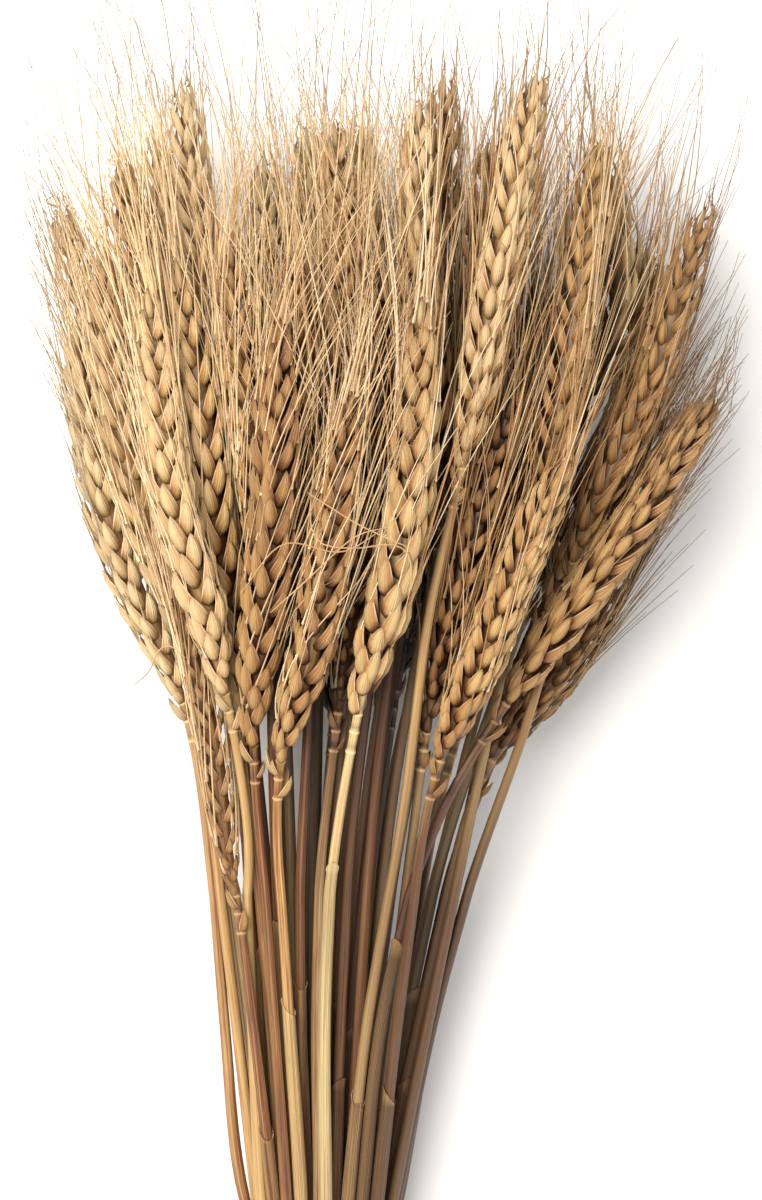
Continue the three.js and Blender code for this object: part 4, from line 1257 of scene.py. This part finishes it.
# Long awns that have come adrift and lie curled over the rest, as the photo shows: the stalk that each
# came from, and the places that it runs through.
strays = [
    (5, [(-2.3, 219, 87), (-2.2, 213, 89), (0.5, 208.5, 90), (9, 207.5, 90.5), (17, 208.5, 90),
         (21.5, 206, 90), (22, 199, 89), (20.5, 192, 88)]),
    (4, [(-19, 197, 89), (-9, 208.5, 91), (5, 206.5, 92), (15, 212, 91)]),
    (6, [(-12, 192, 88), (-3, 200, 90), (8, 210, 90), (16, 212.5, 91)]),
    (5, [(-3, 221, 87), (8, 214, 90), (15, 210.5, 92), (22, 207.5, 91)]),
    (17, [(-33, 181, 84), (-37, 184, 84), (-40, 182, 82), (-42, 177.5, 80), (-46, 174, 78)]),
]
strayTone = 0.68


def addStrays(heap, stalk):
    pick = np.linspace(0, 1, 21)
    thinness = 0.25 + 0.5 * abs(2 * pick - 1) ** 3  # thinner towards both ends
    for number, places in strays:
        if number == stalk["index"] + 1:
            line, _ = evenly(smoothLine(places), 2.2, False)
            run = np.linspace(0, 1, len(line))
            path = np.stack([np.interp(pick, run, line[:, i]) for i in range(3)], -1)
            addAwns(heap, path[None], thinness, strayTone)


def makeStalks(stalks):
    finishes = {}
    for slot, family in families.items():
        finishes[slot] = [
            makeStemFinish(f"{slot}Stem", family, False),
            makeStemFinish(f"{slot}Sheath", family, True),
            makeHuskFinish(f"{slot}Husk", family),
            makeAwnFinish(f"{slot}Awn", family),
        ]
    heaps = []
    plots = []
    for stalk in stalks:
        rng = np.random.default_rng(stalk["index"] + 1)
        heap = Heap()
        mouth = mouthOf(stalk)
        addSheath(heap, stalk, mouth, rng.random())
        addStem(heap, stalk, mouth, rng.random())
        tips = addHusks(heap, stalk, rng)
        addLowHusks(heap, stalk, rng)
        plots.append(plotAwns(stalk, tips, rng))
        heaps.append(heap)
    print("ears and straws shaped")
    owners = np.concatenate([plot["owner"] for plot in plots])
    paths = bendClear(stalks, np.concatenate([plot["path"] for plot in plots]), owners)
    print(len(paths), "awns bent clear")
    triangles = 0
    for stalk, heap, plot in zip(stalks, heaps, plots):
        number = f"{stalk['index'] + 1:02d}"
        name = f"stalk_{number}"
        addAwns(heap, paths[owners == stalk["index"]], np.array(awn["stations"]), plot["tone"])
        addStrays(heap, stalk)
        piece = heap.make(f"wheat_{number}", finishes[slotOf[name]])
        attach(piece, rest)
        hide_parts(name)
        triangles += len(piece.data.polygons)
    print(len(heaps), "stalks made of", triangles, "triangles")


# The twine: three turns of laid cord, a knot and two short ends.

cordPlan = {
    "plies": 3,
    "plyRadius": 0.52,  # as a share of the twine's radius
    "plyOffset": 0.5,
    "lay": 5.2,  # the length of one twist
    "step": 0.75,
    "sides": 6,
    "knotAside": -2,
    "knotRise": 0.3,
    "hitch": (3.33, 1.9),  # half-sizes of the two loops over the turns
    "hitchAside": 0.9,  # how far each lies from the middle of the knot, and how much it leans
    "hitchLean": 0.5,
    "hitchPoints": 28,
    "ends": [(1.5, 0, 1.3), (6, -4.5, 1.6), (8.5, -11, 1.3)],
}


def twineCorners(stalks):
    # the furthest reach of the straws each way gives lines that touch them, and corners between
    places = np.array([stalk["gathered"] for stalk in stalks])
    half = math.pi / twine["steps"]

    def reach(a):
        out = places[:, 0] * math.cos(a) + places[:, 1] * math.sin(a)
        return out.max() + straw["radius"] + gap + twine["radius"]

    corners = []
    for i in range(twine["steps"]):
        a = (2 * i - 1) * half
        b = (2 * i + 1) * half
        turn = math.sin(b - a)
        corners.append(((reach(a) * math.sin(b) - reach(b) * math.sin(a)) / turn,
                        (reach(b) * math.cos(a) - reach(a) * math.cos(b)) / turn))
    return np.array(corners)


def roundedLoop(corners, y, steps=16):
    # a smooth closed line that touches the middle of each side
    points = []
    for i, corner in enumerate(corners):
        start = (corners[i - 1] + corner) / 2
        end = (corner + corners[(i + 1) % len(corners)]) / 2
        for t in np.arange(steps) / steps:
            x, z = (1 - t) ** 2 * start + 2 * t * (1 - t) * corner + t ** 2 * end
            points.append((x, y, z))
    return np.array(points)


def evenly(points, step, closed):
    if closed:
        points = np.concatenate([points, points[:1]])
    run = np.concatenate([[0], np.cumsum(np.linalg.norm(np.diff(points, axis=0), axis=1))])
    count = max(int(run[-1] / step), 4)
    at = np.linspace(0, run[-1], count + (0 if closed else 1), endpoint=not closed)
    return np.stack([np.interp(at, run, points[:, i]) for i in range(3)], -1), run[-1]


def directions(line, closed):
    if closed:
        return unit(np.roll(line, -1, 0) - np.roll(line, 1, 0))
    return unit(np.gradient(line, axis=0))


def addCord(heap, points, closed):
    path, length = evenly(points, cordPlan["step"], closed)
    tangent = directions(path, closed)
    # an open cord's plies are counted from a line well below it
    middle = path.mean(0) - [0, 0, 0 if closed else 40]
    out = squareTo(tangent, path - middle)
    side = np.cross(tangent, out)
    twists = max(round(length / cordPlan["lay"]), 1)
    run = np.linspace(0, length, len(path), endpoint=not closed)
    radius = np.full(len(path), cordPlan["plyRadius"] * twine["radius"])
    grain = tubeGrain(np.append(run, length) if closed else run, cordPlan["sides"])
    for ply in range(cordPlan["plies"]):
        share = ply / cordPlan["plies"]
        turn = 2 * math.pi * (twists * run / length + share)[:, None]
        swing = out * np.cos(turn) + side * np.sin(turn)
        centre = path + swing * cordPlan["plyOffset"] * twine["radius"]
        way = directions(centre, closed)
        first = squareTo(way, swing)
        rings = tubeRings(centre, first, np.cross(way, first), radius, cordPlan["sides"])
        if closed:
            rings = np.concatenate([rings, rings[:1]])
        rings[..., 2] = np.maximum(rings[..., 2], lowest)
        ends = rings[[0, -1]].mean(1)
        heap.add(rings[None], ends[None], grain[None], share, 0, 0)


def smoothLine(places, steps=12):
    places = np.array(places, float)
    at = np.arange(len(places))
    fine = np.linspace(0, len(places) - 1, steps * (len(places) - 1) + 1)
    return np.stack([smoothAt(at, places[:, i], fine) for i in range(3)], -1)


def makeTwine(stalks):
    corners = twineCorners(stalks)
    heap = Heap()
    for turn in range(twine["turns"]):
        y = twine["pitch"] * (turn - (twine["turns"] - 1) / 2)
        addCord(heap, roundedLoop(corners, y), True)
    crown = corners[corners[:, 1].argmax()]
    knotX = crown[0] + cordPlan["knotAside"]
    knotZ = crown[1] + cordPlan["knotRise"]
    length, height = cordPlan["hitch"]
    turn = aroundAt(cordPlan["hitchPoints"])
    aside = cordPlan["hitchAside"] + cordPlan["hitchLean"] * np.sin(turn)
    for side in (-1, 1):
        loop = np.stack([knotX + side * aside, length * np.cos(turn), knotZ + height * np.sin(turn)], -1)
        addCord(heap, loop, True)
        places = [(knotX + side * x, y, knotZ + z) for x, y, z in cordPlan["ends"]]
        addCord(heap, smoothLine(places), False)
    piece = heap.make("twineCord", [makeTwineFinish()])
    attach(piece, rest)
    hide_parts("twine")
    print("twine made of", len(piece.data.polygons), "triangles")


def makeStudio():
    floor = bpy.data.objects.new("floor", bpy.data.meshes.new("floor"))
    half = 3.0
    floor.data.from_pydata([(-half, -half, 0), (half, -half, 0), (half, half, 0), (-half, half, 0)],
                           [], [(0, 1, 2, 3)])
    floor.data.materials.append(makeFloorFinish())
    bpy.context.scene.collection.objects.link(floor)
    makeLamp("keyLamp", studio["key"])
    makeLamp("fillLamp", studio["fill"])
    world = bpy.data.worlds.new("studio")
    world.use_nodes = True
    sky = world.node_tree.nodes["Background"]
    sky.inputs["Color"].default_value = (*studio["world"], 1)
    sky.inputs["Strength"].default_value = studio["worldStrength"]
    bpy.context.scene.world = world
    bpy.context.scene.view_settings.view_transform = "Standard"


makeCamera()
makeStudio()
print("camera and studio set")
stalks = layStalks()
print("stalks laid out")
makeStalks(stalks)
makeTwine(stalks)

bpy.context.view_layer.update()
